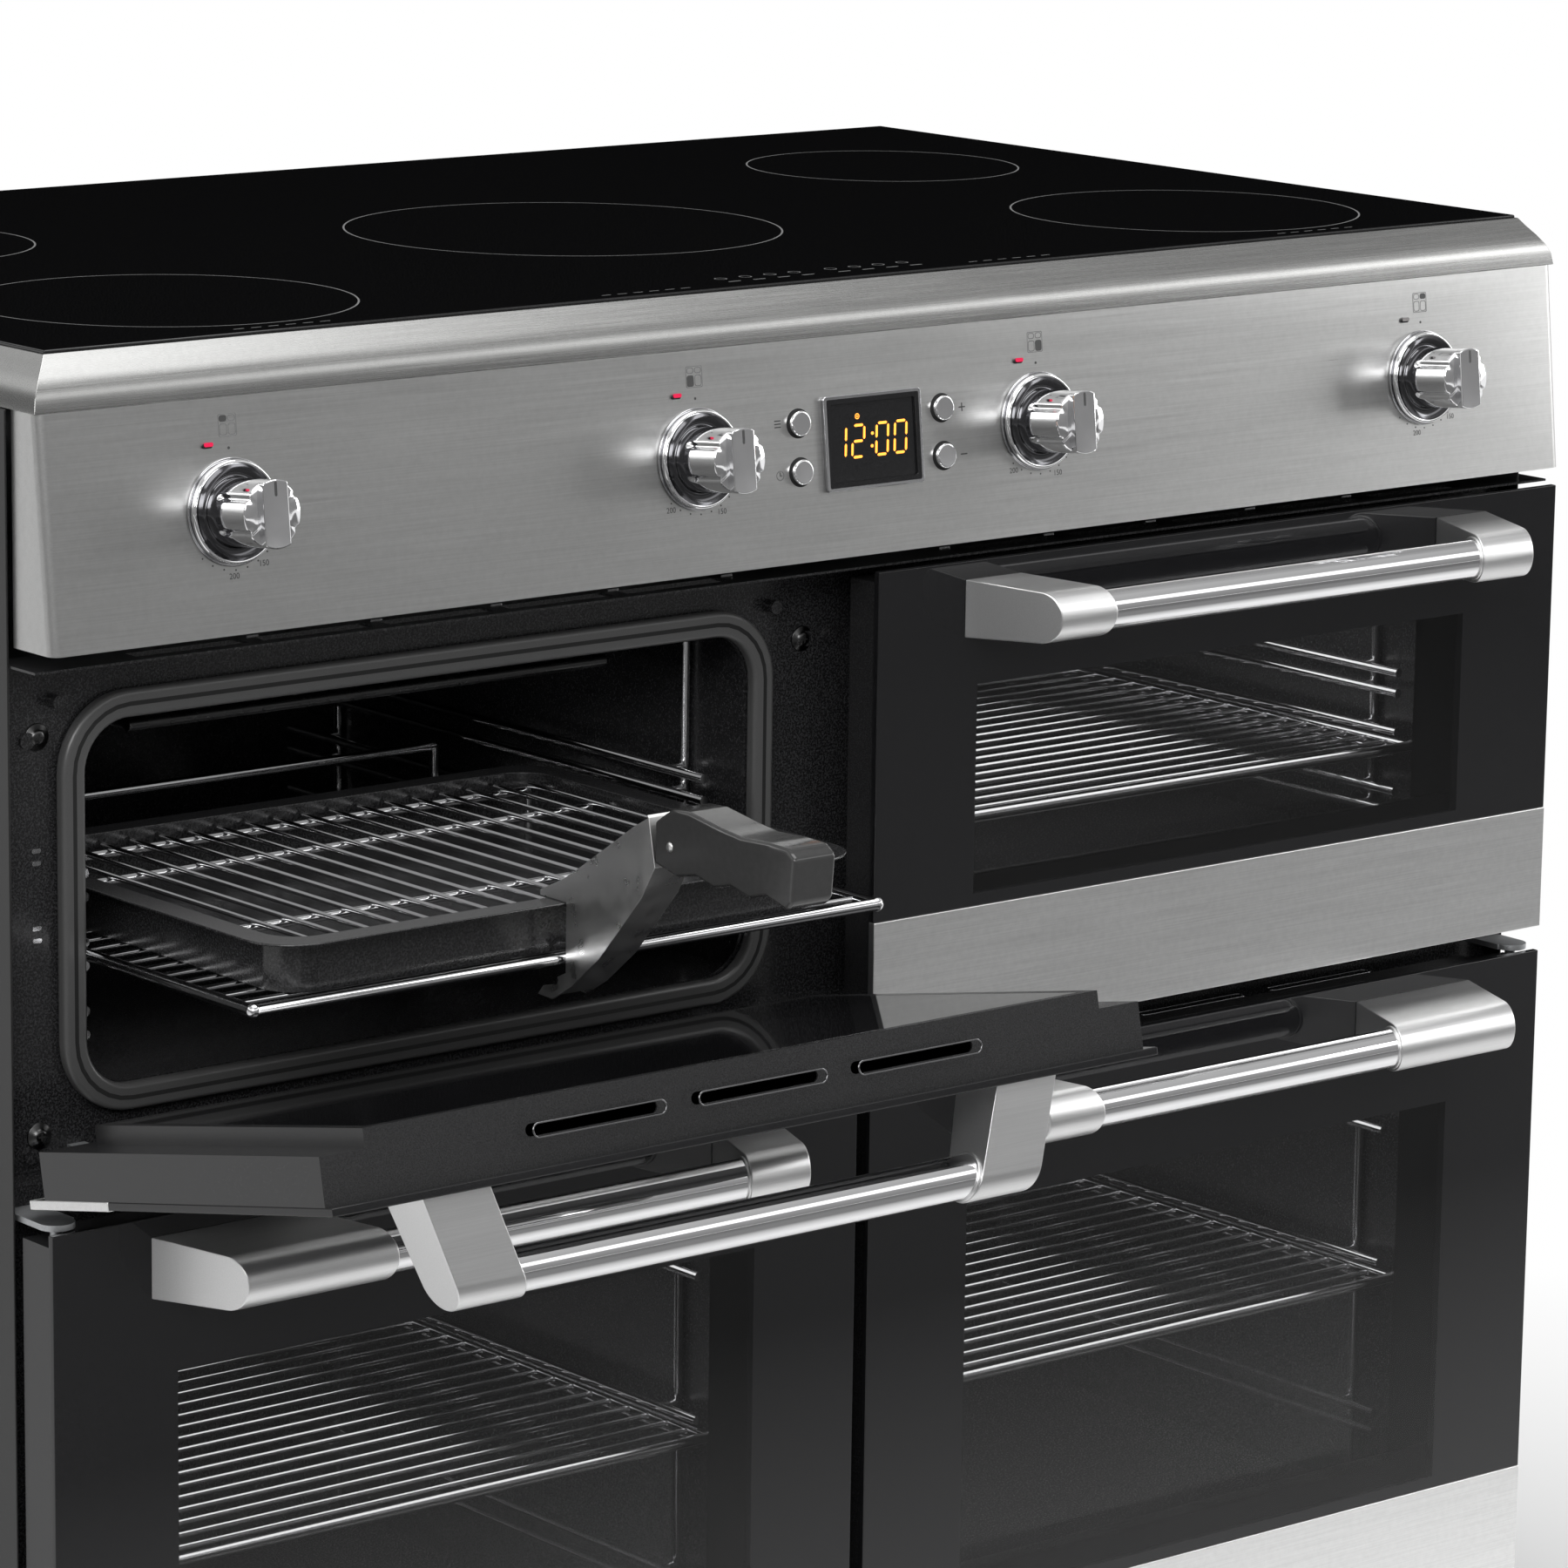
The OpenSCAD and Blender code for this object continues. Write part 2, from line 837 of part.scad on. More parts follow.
// Shelves: a heavy wire frame with thin wires running front to back
// Side and end wires, thin wires from side to side, and a raised wire along the back
module wire_shelf(front, z) {
  $fn = wire_fn;
  r = wire_d / 2;
  x0 = shelf_in + r;
  x1 = shelf_outer - r;
  y0 = front;
  y1 = front + shelf_deep;
  step = (y1 - y0) / (shelf_wires + 1);
  for (x = [x0, x1]) {
    rod_y(y0, y1, x, z, r);
    translate([x, y0, z]) sphere(r + 0.6, $fn = 16);
  }
  for (y = [y0, y1])
    rod_x(x0, x1, y, z, r);
  for (n = [1:shelf_wires])
    rod_x(x0, x1, y0 + n * step, z, thin_d / 2);
  rod_x(x0 + fence_in, x1 - fence_in, y1, z + fence_h, r - 0.5);
  for (x = [x0 + fence_in, x1 - fence_in])
    rod_z(z, z + fence_h, x, y1, r - 0.5);
}

sleeve_r = 8;

module grill_shelf() {
  color("silver")
    place()
      left() {
        wire_shelf(rail_front, up_shelf_z);
        rod_x(pan_mid - plate_off + plate_t + seat, pan_mid + plate_off - plate_t - seat,
          rail_front, up_shelf_z, sleeve_r);
      }
}

module top_oven_shelf() {
  color("silver") place() wire_shelf(shelf_home, up_shelf_z);
}

module left_oven_shelf() {
  color("silver") place() left() wire_shelf(shelf_home, low_shelf_z);
}

module right_oven_shelf() {
  color("silver") place() wire_shelf(shelf_home, low_shelf_z);
}

module grill_pan() {
  color("dimgray")
    place()
      left()
        difference() {
          union() {
            translate([0, 0, pan_z])
              linear_extrude(height = pan_h)
                round_rect(pan_mid - pan_half + rim_w, pan_front + rim_w,
                  pan_mid + pan_half - rim_w, pan_back - rim_w, 20);
            translate([0, 0, pan_top - sheet])
              linear_extrude(height = sheet)
                round_rect(pan_mid - pan_half, pan_front, pan_mid + pan_half, pan_back, 26);
          }
          translate([0, 0, pan_z + sheet])
            linear_extrude(height = pan_h)
              round_rect(pan_mid - pan_half + rim_w + sheet, pan_front + rim_w + sheet,
                pan_mid + pan_half - rim_w - sheet, pan_back - rim_w - sheet, 18.8);
        }
}

// A rack of wires on four cross rails, standing in the pan on a leg at each corner
module grill_rack() {
  $fn = wire_fn;
  step = 2 * rack_half / (rack_wires + 1);
  x0 = pan_mid - rack_half;
  x1 = pan_mid + rack_half;
  wire_z = rack_z + leg_r + thin_d / 2 - wire_weld;
  color("silver")
    place()
      left() {
        for (y = [rack_front, rack_front + rack_step, rack_back - rack_step, rack_back])
          rod_x(x0, x1, y, rack_z, leg_r);
        for (n = [1:rack_wires])
          rod_y(rack_front - wire_over, rack_back + wire_over, x0 + n * step, wire_z, thin_d / 2);
        for (x = [x0, x1]) {
          rod_y(rack_front, rack_back, x, wire_z, thin_d / 2);
          for (y = [rack_front, rack_back])
            rod_z(pan_z + sheet + seat, rack_z, x, y, leg_r);
        }
      }
}

// The handle hooks over the pan's rim and under the shelf's front rail
hook = [[15, 31.5], [-2.5, 39.5], [-17, 48.5], [-40, 63.5], [-56.5, 74.5], [-69, 81.5], [-74, 58],
  [-64, 41.5], [-47, 22.5], [-32, 6], [-10, -12], [5, -21], [16.5, -20.5], [12.3, -15.5],
  [1.6, -13], [1, -9]];
inner = [[-5.5, -6], [-5.5, 28.8], [15, 28.8]];

// The folded front of the handle joins its two plates from the grip down to the tip
web = [hook[5], hook[6], hook[7], hook[8], hook[9], hook[10], [0, -18]];
web_step = [1.2, 1.1];

function at_rail(list) = [for (p = list) [rail_front + p[0], up_shelf_z + p[1]]];

module handle_plate() {
  polygon(concat(at_rail(hook), at_rail(inner)));
}

module pan_handle_bracket() {
  color("silver")
    place()
      left() {
        for (x = [pan_mid - plate_off, pan_mid + plate_off - plate_t])
          along_x(x, x + plate_t) handle_plate();
        along_x(pan_mid - plate_off, pan_mid + plate_off)
          polygon(concat(at_rail(web), at_rail([for (n = [6:-1:0]) web[n] + web_step])));
        box([pan_mid - tang_half, rail_front - tang_end, up_shelf_z + tang_z],
          [pan_mid + tang_half, rail_front - tang_root, up_shelf_z + tang_z + tang_h]);
      }
}

grip = [[-75, 60.5], [-75, 81], [-88, 89], [-101, 89.5], [-124, 86], [-139, 84.5],
  [-158, 85.5], [-173, 85], [-179, 81], [-177, 60], [-173, 56], [-158, 60], [-146, 57],
  [-132, 60], [-120, 57], [-106, 60], [-92, 57]];

module pan_handle_grip() {
  color("black")
    place()
      left()
        difference() {
          along_x(pan_mid - grip_half, pan_mid + grip_half)
            polygon(at_rail(grip));
          box([pan_mid - tang_half - fit, rail_front - tang_end - fit, up_shelf_z + tang_z - fit],
            [pan_mid + tang_half + fit, rail_front - tang_root, up_shelf_z + tang_z + tang_h + fit]);
        }
}

slot_pitch = 96;
slot_half = 38;
slot_y = 18;
slot_w = 6;

// Doors, drawn as right-hand doors: x from the middle of the cooker, z from the bottom edge
module door_shell(h) {
  top = h - tray_drop;
  difference() {
    union() {
      box([tray_in, glass_t, tray_low], [tray_out, tray_d, top]);
      box([plug_in, tray_d, plug_low], [plug_out, plug_d, top]);
    }
    box([tray_in + sheet, glass_t - eps, tray_low + sheet],
      [tray_out - sheet, tray_d - sheet, top - sheet]);
    box([plug_in + sheet, tray_d - 2 * sheet, plug_low + sheet],
      [plug_out - sheet, plug_d - pane_t - sheet, top - sheet]);
    box([pane_in - 0.1, plug_d - pane_t, pane_low - 0.1],
      [pane_out + 0.1, plug_d + eps, h - pane_drop + 0.1]);
    box([pane_in + pane_lip, tray_d, pane_low + pane_lip],
      [pane_out - pane_lip, plug_d, h - pane_drop - pane_lip]);
    for (n = [-1:1])
      translate([cav_mid + n * slot_pitch, 0, top - sheet - eps])
        linear_extrude(height = sheet + 2 * eps, $fn = 16)
          round_rect(-slot_half, slot_y, slot_half, slot_y + slot_w, slot_w / 2 - 0.01);
  }
}

module hinge_lug(x) {
  difference() {
    along_x(x, x + lug_t)
      polygon([[5.5, 2.6], [19.5, 2.6], [19.5, notch_top], [tray_d - sheet, notch_top],
        [tray_d - sheet, 34], [5.5, 34]]);
    rod_x(x - 1, x + lug_t + 1, hinge_y, hinge_z, pin_r + fit);
  }
}

module drop_door_frame() {
  difference() {
    door_shell(up_door_h);
    for (x = [arm_in, arm_out])
      box([x - notch_half, glass_t - eps, 0], [x + notch_half, tray_d + 1, notch_top]);
  }
  for (x = [arm_in, arm_out]) {
    hinge_lug(x - arm_half - lug_t - 0.3);
    hinge_lug(x + arm_half + 0.3);
    box([x - notch_half - 3, tray_d - 6, notch_top], [x + notch_half + 3, tray_d - sheet, 34]);
  }
}

module side_door_frame() {
  top = low_door_h - tray_drop;
  difference() {
    union() {
      door_shell(low_door_h);
      for (z = [tray_low, top - boss_l]) {
        rod_z(z, z + boss_l, side_axis, hinge_y, boss_r);
        box([side_axis, hinge_y - boss_r, z], [tray_out - sheet, hinge_y + boss_r, z + boss_l]);
      }
    }
    rod_z(tray_low - eps, tray_low + boss_l, side_axis, hinge_y, pin_r + fit);
    rod_z(top - boss_l, top + eps, side_axis, hinge_y, pin_r + fit);
  }
}

module door_panes(h) {
  box([half_gap, 0, band_h], [door_edge, glass_t, h]);
  box([pane_in, plug_d - pane_t, pane_low], [pane_out, plug_d, h - pane_drop]);
}

module door_band() {
  difference() {
    box([half_gap, -band_t, 0], [door_edge, glass_t, band_h]);
    box([half_gap + sheet, -band_t + sheet, sheet], [door_edge - sheet, glass_t + eps, band_h - sheet]);
  }
}

module handle_bar(long) {
  y = -bar_y;
  rod_x(bracket_in + bracket_w - socket, bracket_out - long + socket, y, 0, bar_r);
}

// A bracket is a D-shaped bar whose two ends slant towards the middle of the handle
module bracket(x0, x1, dir) {
  reach = slant * standoff * dir;
  difference() {
    intersection() {
      along_x(min(x0, x0 + reach), max(x1, x1 + reach)) {
        polygon([[0, -bracket_h / 2], [-standoff + nose_r, -nose_r], [-standoff + nose_r, nose_r],
          [0, bracket_h / 2]]);
        translate([-standoff + nose_r, 0]) circle(nose_r, $fn = 48);
      }
      translate([0, 0, -bracket_h])
        linear_extrude(height = 2 * bracket_h)
          polygon([[x0, 0], [x1, 0], [x1 + reach, -standoff], [x0 + reach, -standoff]]);
    }
    rod_x(dir > 0 ? x1 - socket - 0.1 : x0 - 40, dir > 0 ? x1 + 40 : x0 + socket + 0.1,
      -bar_y, 0, bar_r + 0.05);
  }
}

module handle_brackets(long) {
  bracket(bracket_in, bracket_in + bracket_w, 1);
  bracket(bracket_out - long, bracket_out, -1);
}

module at_handle(h) {
  translate([0, 0, h - handle_drop]) children();
}

module grill_door_frame() {
  color("dimgray") grill_door_space() drop_door_frame();
}

module grill_door_glass() {
  color("black") grill_door_space() door_panes(up_door_h);
}

module grill_door_band() {
  color("silver") grill_door_space() door_band();
}

module grill_door_bar() {
  color("silver") grill_door_space() at_handle(up_door_h) handle_bar(bracket_w);
}

module grill_door_brackets() {
  color("lightgray") grill_door_space() at_handle(up_door_h) handle_brackets(bracket_w);
}

module top_oven_door_frame() {
  color("dimgray") top_door_space() drop_door_frame();
}

module top_oven_door_glass() {
  color("black") top_door_space() door_panes(up_door_h);
}

module top_oven_door_band() {
  color("silver") top_door_space() door_band();
}

module top_oven_door_bar() {
  color("silver") top_door_space() at_handle(up_door_h) handle_bar(bracket_w);
}

module top_oven_door_brackets() {
  color("lightgray") top_door_space() at_handle(up_door_h) handle_brackets(bracket_w);
}

module left_oven_door_frame() {
  color("dimgray") left_door_space() side_door_frame();
}

module left_oven_door_glass() {
  color("black") left_door_space() door_panes(low_door_h);
}

module left_oven_door_band() {
  color("silver") left_door_space() door_band();
}

module left_oven_door_bar() {
  color("silver") left_door_space() at_handle(low_door_h) handle_bar(bracket_long);
}

module left_oven_door_brackets() {
  color("lightgray") left_door_space() at_handle(low_door_h) handle_brackets(bracket_long);
}

module right_oven_door_frame() {
  color("dimgray") right_door_space() side_door_frame();
}

module right_oven_door_glass() {
  color("black") right_door_space() door_panes(low_door_h);
}

module right_oven_door_band() {
  color("silver") right_door_space() door_band();
}

module right_oven_door_bar() {
  color("silver") right_door_space() at_handle(low_door_h) handle_bar(bracket_long);
}

module right_oven_door_brackets() {
  color("lightgray") right_door_space() at_handle(low_door_h) handle_brackets(bracket_long);
}

side_panels();
back_panel();
base_tray();
plinth();
feet();
front_frame();
upper_liners();
lower_liners();
door_seals();
side_racks();
door_hinges();
heating_elements();
fan_covers();
fan_motors();
left_oven_fan();
right_oven_fan();
hob_glass();
hob_trim();
induction_units();
control_panel();
panel_bezels();
display_lenses();
switch_bodies();
terminal_box();
grill_knob();
left_oven_knob();
right_oven_knob();
top_oven_knob();
function_button();
clock_button();
plus_button();
minus_button();
grill_shelf();
grill_pan();
grill_rack();
pan_handle_bracket();
pan_handle_grip();
top_oven_shelf();
left_oven_shelf();
right_oven_shelf();
grill_door_frame();
grill_door_glass();
grill_door_band();
grill_door_bar();
grill_door_brackets();
top_oven_door_frame();
top_oven_door_glass();
top_oven_door_band();
top_oven_door_bar();
top_oven_door_brackets();
left_oven_door_frame();
left_oven_door_glass();
left_oven_door_band();
left_oven_door_bar();
left_oven_door_brackets();
right_oven_door_frame();
right_oven_door_glass();
right_oven_door_band();
right_oven_door_bar();
right_oven_door_brackets();
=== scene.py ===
"""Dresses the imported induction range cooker: finishes, fine pieces, studio and camera."""

import json
import logging
import math
from collections.abc import Callable
from dataclasses import dataclass, field
from enum import Enum

import bmesh
import bpy
import numpy as np
from mathutils import Matrix, Vector


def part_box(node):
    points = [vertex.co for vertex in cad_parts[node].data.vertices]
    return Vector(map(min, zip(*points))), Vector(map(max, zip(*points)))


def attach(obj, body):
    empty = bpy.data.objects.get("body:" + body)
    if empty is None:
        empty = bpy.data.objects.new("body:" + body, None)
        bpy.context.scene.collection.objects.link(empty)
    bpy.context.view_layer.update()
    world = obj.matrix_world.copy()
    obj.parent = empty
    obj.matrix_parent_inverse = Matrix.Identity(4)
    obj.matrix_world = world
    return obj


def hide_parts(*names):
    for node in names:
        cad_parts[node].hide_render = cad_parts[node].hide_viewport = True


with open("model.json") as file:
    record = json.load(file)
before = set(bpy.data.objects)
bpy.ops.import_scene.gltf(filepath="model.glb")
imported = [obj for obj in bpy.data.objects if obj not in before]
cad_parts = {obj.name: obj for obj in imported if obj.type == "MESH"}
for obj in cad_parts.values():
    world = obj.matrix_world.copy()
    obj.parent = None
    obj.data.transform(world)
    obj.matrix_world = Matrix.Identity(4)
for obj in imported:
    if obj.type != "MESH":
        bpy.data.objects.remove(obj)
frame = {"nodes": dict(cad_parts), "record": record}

LOG = logging.getLogger("range_cooker")
MM = 0.001
Place = Callable[[np.ndarray, np.ndarray, np.ndarray], np.ndarray]
Shape = tuple[np.ndarray, list]
FIGURE_SHARE = 0.73  # height of a figure as a share of the type's size


class Side(Enum):
    """Which half of the cooker a piece is on; the value is the sign of X."""

    LEFT = -1
    RIGHT = 1


class Grain(Enum):
    """The way a brushed finish runs."""

    ALONG_X = 0
    ALONG_Z = 2


# ---- where things are -------------------------------------------------------


@dataclass(frozen=True)
class Datum:
    """The cooker's levels in millimetres, read from the CAD nodes so that they always agree."""

    front: float
    up_low: float
    up_top: float
    low_low: float
    low_top: float
    panel_low: float
    lean: float = math.atan(12 / 112)

    @classmethod
    def read(cls) -> "Datum":
        """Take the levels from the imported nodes.

        Returns:
            The datum of this build.
        """
        low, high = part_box("top_oven_door_glass")
        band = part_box("top_oven_door_band")
        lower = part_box("right_oven_door_glass")
        lower_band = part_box("right_oven_door_band")
        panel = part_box("control_panel")
        return cls(low[1] / MM, band[0][2] / MM, high[2] / MM, lower_band[0][2] / MM,
                   lower[1][2] / MM, panel[0][2] / MM)

    def on_panel(self, x: float | np.ndarray, v: float | np.ndarray,
                 out: float | np.ndarray) -> np.ndarray:
        """A point given in the panel's plane, v up its slope and out from its face.

        Args:
            x: Distance to the right of the middle.
            v: Distance up the slope from the bottom edge.
            out: Distance in front of the face.

        Returns:
            The points in metres, last axis x, y, z.
        """
        s, c = math.sin(self.lean), math.cos(self.lean)
        y = self.front - 3.5 + v * s - out * c
        z = self.panel_low + v * c + out * s
        return np.stack(np.broadcast_arrays(x, y, z), -1) * MM


# ---- meshes -----------------------------------------------------------------


def make_object(name: str, points: np.ndarray, faces: list, body: str,
                smooth: bool = True) -> bpy.types.Object:
    """Put points and faces into a new object that rides on a body.

    Args:
        name: The object's name.
        points: Points in metres, one row each.
        faces: Lists of point numbers.
        body: The CAD body it moves with.
        smooth: Whether the faces are shaded smooth.

    Returns:
        The new object.
    """
    mesh = bpy.data.meshes.new(name)
    mesh.from_pydata(np.asarray(points, float).reshape(-1, 3).tolist(), [], faces)
    return link(mesh, body, smooth)


def link(mesh: bpy.types.Mesh, body: str, smooth: bool = True) -> bpy.types.Object:
    """Make a mesh a piece of the scene, under the mesh's own name.

    Args:
        mesh: The mesh, in the frame's place.
        body: The CAD body it moves with.
        smooth: Whether the faces are shaded smooth.

    Returns:
        The new object.
    """
    mesh.polygons.foreach_set("use_smooth", np.full(len(mesh.polygons), smooth))
    mesh.update()
    piece = bpy.data.objects.new(mesh.name, mesh)
    bpy.context.scene.collection.objects.link(piece)
    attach(piece, body)
    LOG.info("made %s with %d faces", mesh.name, len(mesh.polygons))
    return piece


def grid_faces(rows: int, columns: int, close_rows: bool, close_columns: bool) -> list:
    """Quads of a grid whose points are numbered row by row.

    Args:
        rows: Number of rows.
        columns: Points in a row.
        close_rows: Whether the last row joins the first.
        close_columns: Whether the last column joins the first.

    Returns:
        The quads as lists of four point numbers.
    """
    r = np.arange(rows if close_rows else rows - 1)
    c = np.arange(columns if close_columns else columns - 1)
    r, c = np.meshgrid(r, c, indexing="ij")
    r2, c2 = (r + 1) % rows, (c + 1) % columns
    quads = np.stack([r * columns + c, r * columns + c2, r2 * columns + c2, r2 * columns + c], -1)
    return quads.reshape(-1, 4).tolist()


def revolve(profile: np.ndarray, turns: int, ripple: np.ndarray | None = None) -> Shape:
    """Carry a profile round an axis: each point is radius times cosine and sine, at its height.

    Args:
        profile: Rows of radius and height, ends on the axis.
        turns: Steps round the axis.
        ripple: Optional change of radius, one row for each profile point.

    Returns:
        Points as x, height, z and the quads.
    """
    angle = np.linspace(0, 2 * math.pi, turns, endpoint=False)
    radius = profile[:, :1] + (0 if ripple is None else ripple)
    radius = radius * np.ones((1, turns))
    height = profile[:, 1:] * np.ones((1, turns))
    points = np.stack([radius * np.cos(angle), height, radius * np.sin(angle)], -1)
    return points.reshape(-1, 3), grid_faces(len(profile), turns, False, True)


def tube(path: np.ndarray, radius: float, sides: int, closed: bool = False) -> Shape:
    """Carry a circle along a path, square to it at each point.

    Args:
        path: Points of the path in metres.
        radius: The tube's radius in metres.
        sides: Points round the circle.
        closed: Whether the path is a loop.

    Returns:
        Points and faces, with flat ends on an open tube.
    """
    if closed:
        along = np.roll(path, -1, 0) - np.roll(path, 1, 0)
    else:
        along = np.gradient(path, axis=0)
    along /= np.linalg.norm(along, axis=1, keepdims=True)
    spread = np.abs(along).sum(0)
    up = np.eye(3)[int(np.argmin(spread))]
    side = np.cross(along, up)
    side /= np.linalg.norm(side, axis=1, keepdims=True)
    other = np.cross(side, along)
    angle = np.linspace(0, 2 * math.pi, sides, endpoint=False)[None, :, None]
    circle = np.cos(angle) * side[:, None] + np.sin(angle) * other[:, None]
    points = path[:, None] + radius * circle
    faces = grid_faces(len(path), sides, closed, True)
    if not closed:
        last = (len(path) - 1) * sides
        faces.append(list(range(sides))[::-1])
        faces.append(list(range(last, last + sides)))
    return points.reshape(-1, 3), faces


def prism(outline: np.ndarray, place: Place, low: float, high: float) -> Shape:
    """Carry a closed outline from one depth to another and close both ends.

    Args:
        outline: Rows of two coordinates.
        place: Function of the two coordinates and a depth that gives points in metres.
        low: First depth.
        high: Last depth.

    Returns:
        Points and faces.
    """
    count = len(outline)
    first = place(outline[:, 0], outline[:, 1], np.full(count, low))
    second = place(outline[:, 0], outline[:, 1], np.full(count, high))
    faces = grid_faces(2, count, False, True)
    faces.append(list(range(count))[::-1])
    faces.append(list(range(count, 2 * count)))
    return np.concatenate([first, second]), faces


def band(outer: np.ndarray, inner: np.ndarray, place: Place, depth: float) -> Shape:
    """A flat ring between two outlines of equal length.

    Args:
        outer: Outer outline, rows of two coordinates.
        inner: Inner outline.
        place: Function of two coordinates and a depth that gives points in metres.
        depth: The depth at which it lies.

    Returns:
        Points and faces.
    """
    both = np.concatenate([outer, inner])
    points = place(both[:, 0], both[:, 1], np.full(len(both), depth))
    return points, grid_faces(2, len(outer), False, True)


def rounded(x0: float, y0: float, x1: float, y1: float, r: float, steps: int = 8) -> np.ndarray:
    """Outline of a rectangle with four quarter circles as corners.

    Args:
        x0: Low first coordinate.
        y0: Low second coordinate.
        x1: High first coordinate.
        y1: High second coordinate.
        r: Corner radius.
        steps: Points in each corner.

    Returns:
        The outline, anticlockwise.
    """
    angle = np.linspace(0, math.pi / 2, steps)
    corners = ((x1 - r, y1 - r, 0), (x0 + r, y1 - r, 1), (x0 + r, y0 + r, 2), (x1 - r, y0 + r, 3))
    rows = [np.stack([cx + r * np.cos(angle + q * math.pi / 2),
                      cy + r * np.sin(angle + q * math.pi / 2)], -1) for cx, cy, q in corners]
    return np.concatenate(rows)


def ring_of(count: int) -> np.ndarray:
    """Points evenly round a circle of radius one, as rows of cosine and sine."""
    turn = np.linspace(0, 2 * math.pi, count, endpoint=False)
    return np.stack([np.cos(turn), np.sin(turn)], -1)


def merge(parts: list[Shape]) -> Shape:
    """Join several point and face sets into one.

    Args:
        parts: Pairs of points and faces.

    Returns:
        One pair.
    """
    points, faces, start = [], [], 0
    for p, f in parts:
        points.append(p)
        faces.extend([[n + start for n in face] for face in f])
        start += len(p)
    return np.concatenate(points), faces


def glyphs(text: str, height: float) -> Shape:
    """Flat outline of dial figures, centred on zero.

    Args:
        text: The figures.
        height: Their height in millimetres.

    Returns:
        Two-coordinate points and faces.
    """
    curve = bpy.data.curves.new("figures", "FONT")
    curve.body = text
    curve.size = height / FIGURE_SHARE
    curve.align_x = "CENTER"
    curve.align_y = "CENTER"
    curve.resolution_u = 4
    holder = bpy.data.objects.new("figures", curve)
    bpy.context.scene.collection.objects.link(holder)
    bpy.context.view_layer.update()
    mesh = bpy.data.meshes.new_from_object(holder)
    points = np.zeros(len(mesh.vertices) * 3)
    mesh.vertices.foreach_get("co", points)
    faces = [list(p.vertices) for p in mesh.polygons]
    bpy.data.objects.remove(holder)
    bpy.data.meshes.remove(mesh)
    return points.reshape(-1, 3)[:, :2], faces


# ---- finishes ---------------------------------------------------------------


